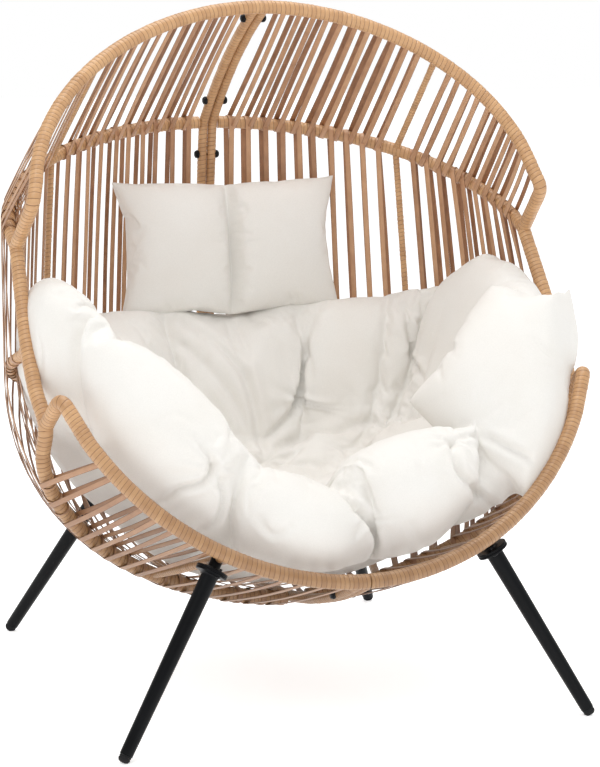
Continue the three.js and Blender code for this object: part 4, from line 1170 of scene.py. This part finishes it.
points, quads = pillowGrid()
headPillow = addPiece("head_pillow_cover", points, quads, ivoryFabric, "pillow",
                      weld=1e-6)
place = meshPoints(headPillow.data) - np.array(pillow["centre"])
nearChannel = np.exp(-(place[:, 0] / pillow["channelHold"]) ** 2)
simulateCloth(headPillow, pillow["cloth"], nearChannel)
smoothOnce(headPillow)
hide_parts("head_pillow")
print("head pillow ready")


# The studio: how much the floor glows, how bright the sky is, and each light's name, place,
# target, size in metres and power in watts.
studio = {
    "floorSize": 14.0, "floorGlow": 0.56, "sky": 0.64,
    "lights": [("key", (-2.2, -2.6, 4.0), (0, 0, 0.7), 2.4, 50.0),
               ("fill", (3.2, -2.2, 2.4), (0, 0, 0.7), 2.6, 12.0),
               ("top", (0.2, 0.5, 4.2), (0, 0, 0.8), 3.2, 76.0)],
}
floorMaterial, nodes, links, shader = newMaterial("studio_floor")
shader.inputs["Base Color"].default_value = (0.90, 0.90, 0.90, 1.0)
shader.inputs["Emission Color"].default_value = (1.0, 1.0, 1.0, 1.0)
shader.inputs["Emission Strength"].default_value = studio["floorGlow"]
shader.inputs["Roughness"].default_value = 0.9
shader.inputs["Specular IOR Level"].default_value = 0.1
floorMesh = bpy.data.meshes.new("floor")
floorSize = studio["floorSize"]
floorMesh.from_pydata([(-floorSize, -floorSize, 0), (floorSize, -floorSize, 0),
                       (floorSize, floorSize, 0), (-floorSize, floorSize, 0)], [], [(0, 1, 2, 3)])
floorMesh.materials.append(floorMaterial)
floor = bpy.data.objects.new("floor", floorMesh)
bpy.context.scene.collection.objects.link(floor)

world = bpy.data.worlds.new("studio")
bpy.context.scene.world = world
world.use_nodes = True
worldNodes, worldLinks = world.node_tree.nodes, world.node_tree.links
worldNodes["Background"].inputs["Color"].default_value = (1.0, 1.0, 1.0, 1.0)
worldNodes["Background"].inputs["Strength"].default_value = studio["sky"]
backdrop = addNode(worldNodes, "ShaderNodeBackground", None, {"Strength": 1.0})
backdrop.inputs["Color"].default_value = (1.0, 1.0, 1.0, 1.0)
ray, either = worldNodes.new("ShaderNodeLightPath"), worldNodes.new("ShaderNodeMixShader")
worldLinks.new(ray.outputs["Is Camera Ray"], either.inputs[0])
worldLinks.new(worldNodes["Background"].outputs[0], either.inputs[1])
worldLinks.new(backdrop.outputs[0], either.inputs[2])
worldLinks.new(either.outputs[0], worldNodes["World Output"].inputs["Surface"])


def addArea(name, place, target, size, power):
    light = bpy.data.lights.new(name, "AREA")
    light.shape, light.size, light.energy = "DISK", size, power
    lamp = bpy.data.objects.new(name, light)
    bpy.context.scene.collection.objects.link(lamp)
    lamp.location = place
    lamp.rotation_euler = (Vector(target) - Vector(place)).to_track_quat("-Z", "Y").to_euler()


for light in studio["lights"]:
    addArea(*light)

view = {"from": (-2.1673, -5.5706, 1.6993), "to": (0.0506, 0.0, 0.6161), "roll": 0.015,
        "lens": 137.9, "sensor": 36.0}
camera = bpy.data.objects.new("camera", bpy.data.cameras.new("camera"))
bpy.context.scene.collection.objects.link(camera)
camera.data.lens, camera.data.sensor_width = view["lens"], view["sensor"]
camera.data.clip_end = 60.0
ahead = (Vector(view["to"]) - Vector(view["from"])).normalized()
level = ahead.cross(Vector((0, 0, 1))).normalized()
upward = level.cross(ahead)
turnX = level * math.cos(view["roll"]) + upward * math.sin(view["roll"])
turnY = upward * math.cos(view["roll"]) - level * math.sin(view["roll"])
camera.matrix_world = Matrix(((turnX.x, turnY.x, -ahead.x, view["from"][0]),
                              (turnX.y, turnY.y, -ahead.y, view["from"][1]),
                              (turnX.z, turnY.z, -ahead.z, view["from"][2]),
                              (0.0, 0.0, 0.0, 1.0)))
bpy.context.scene.camera = camera
bpy.context.scene.view_settings.view_transform = "Standard"
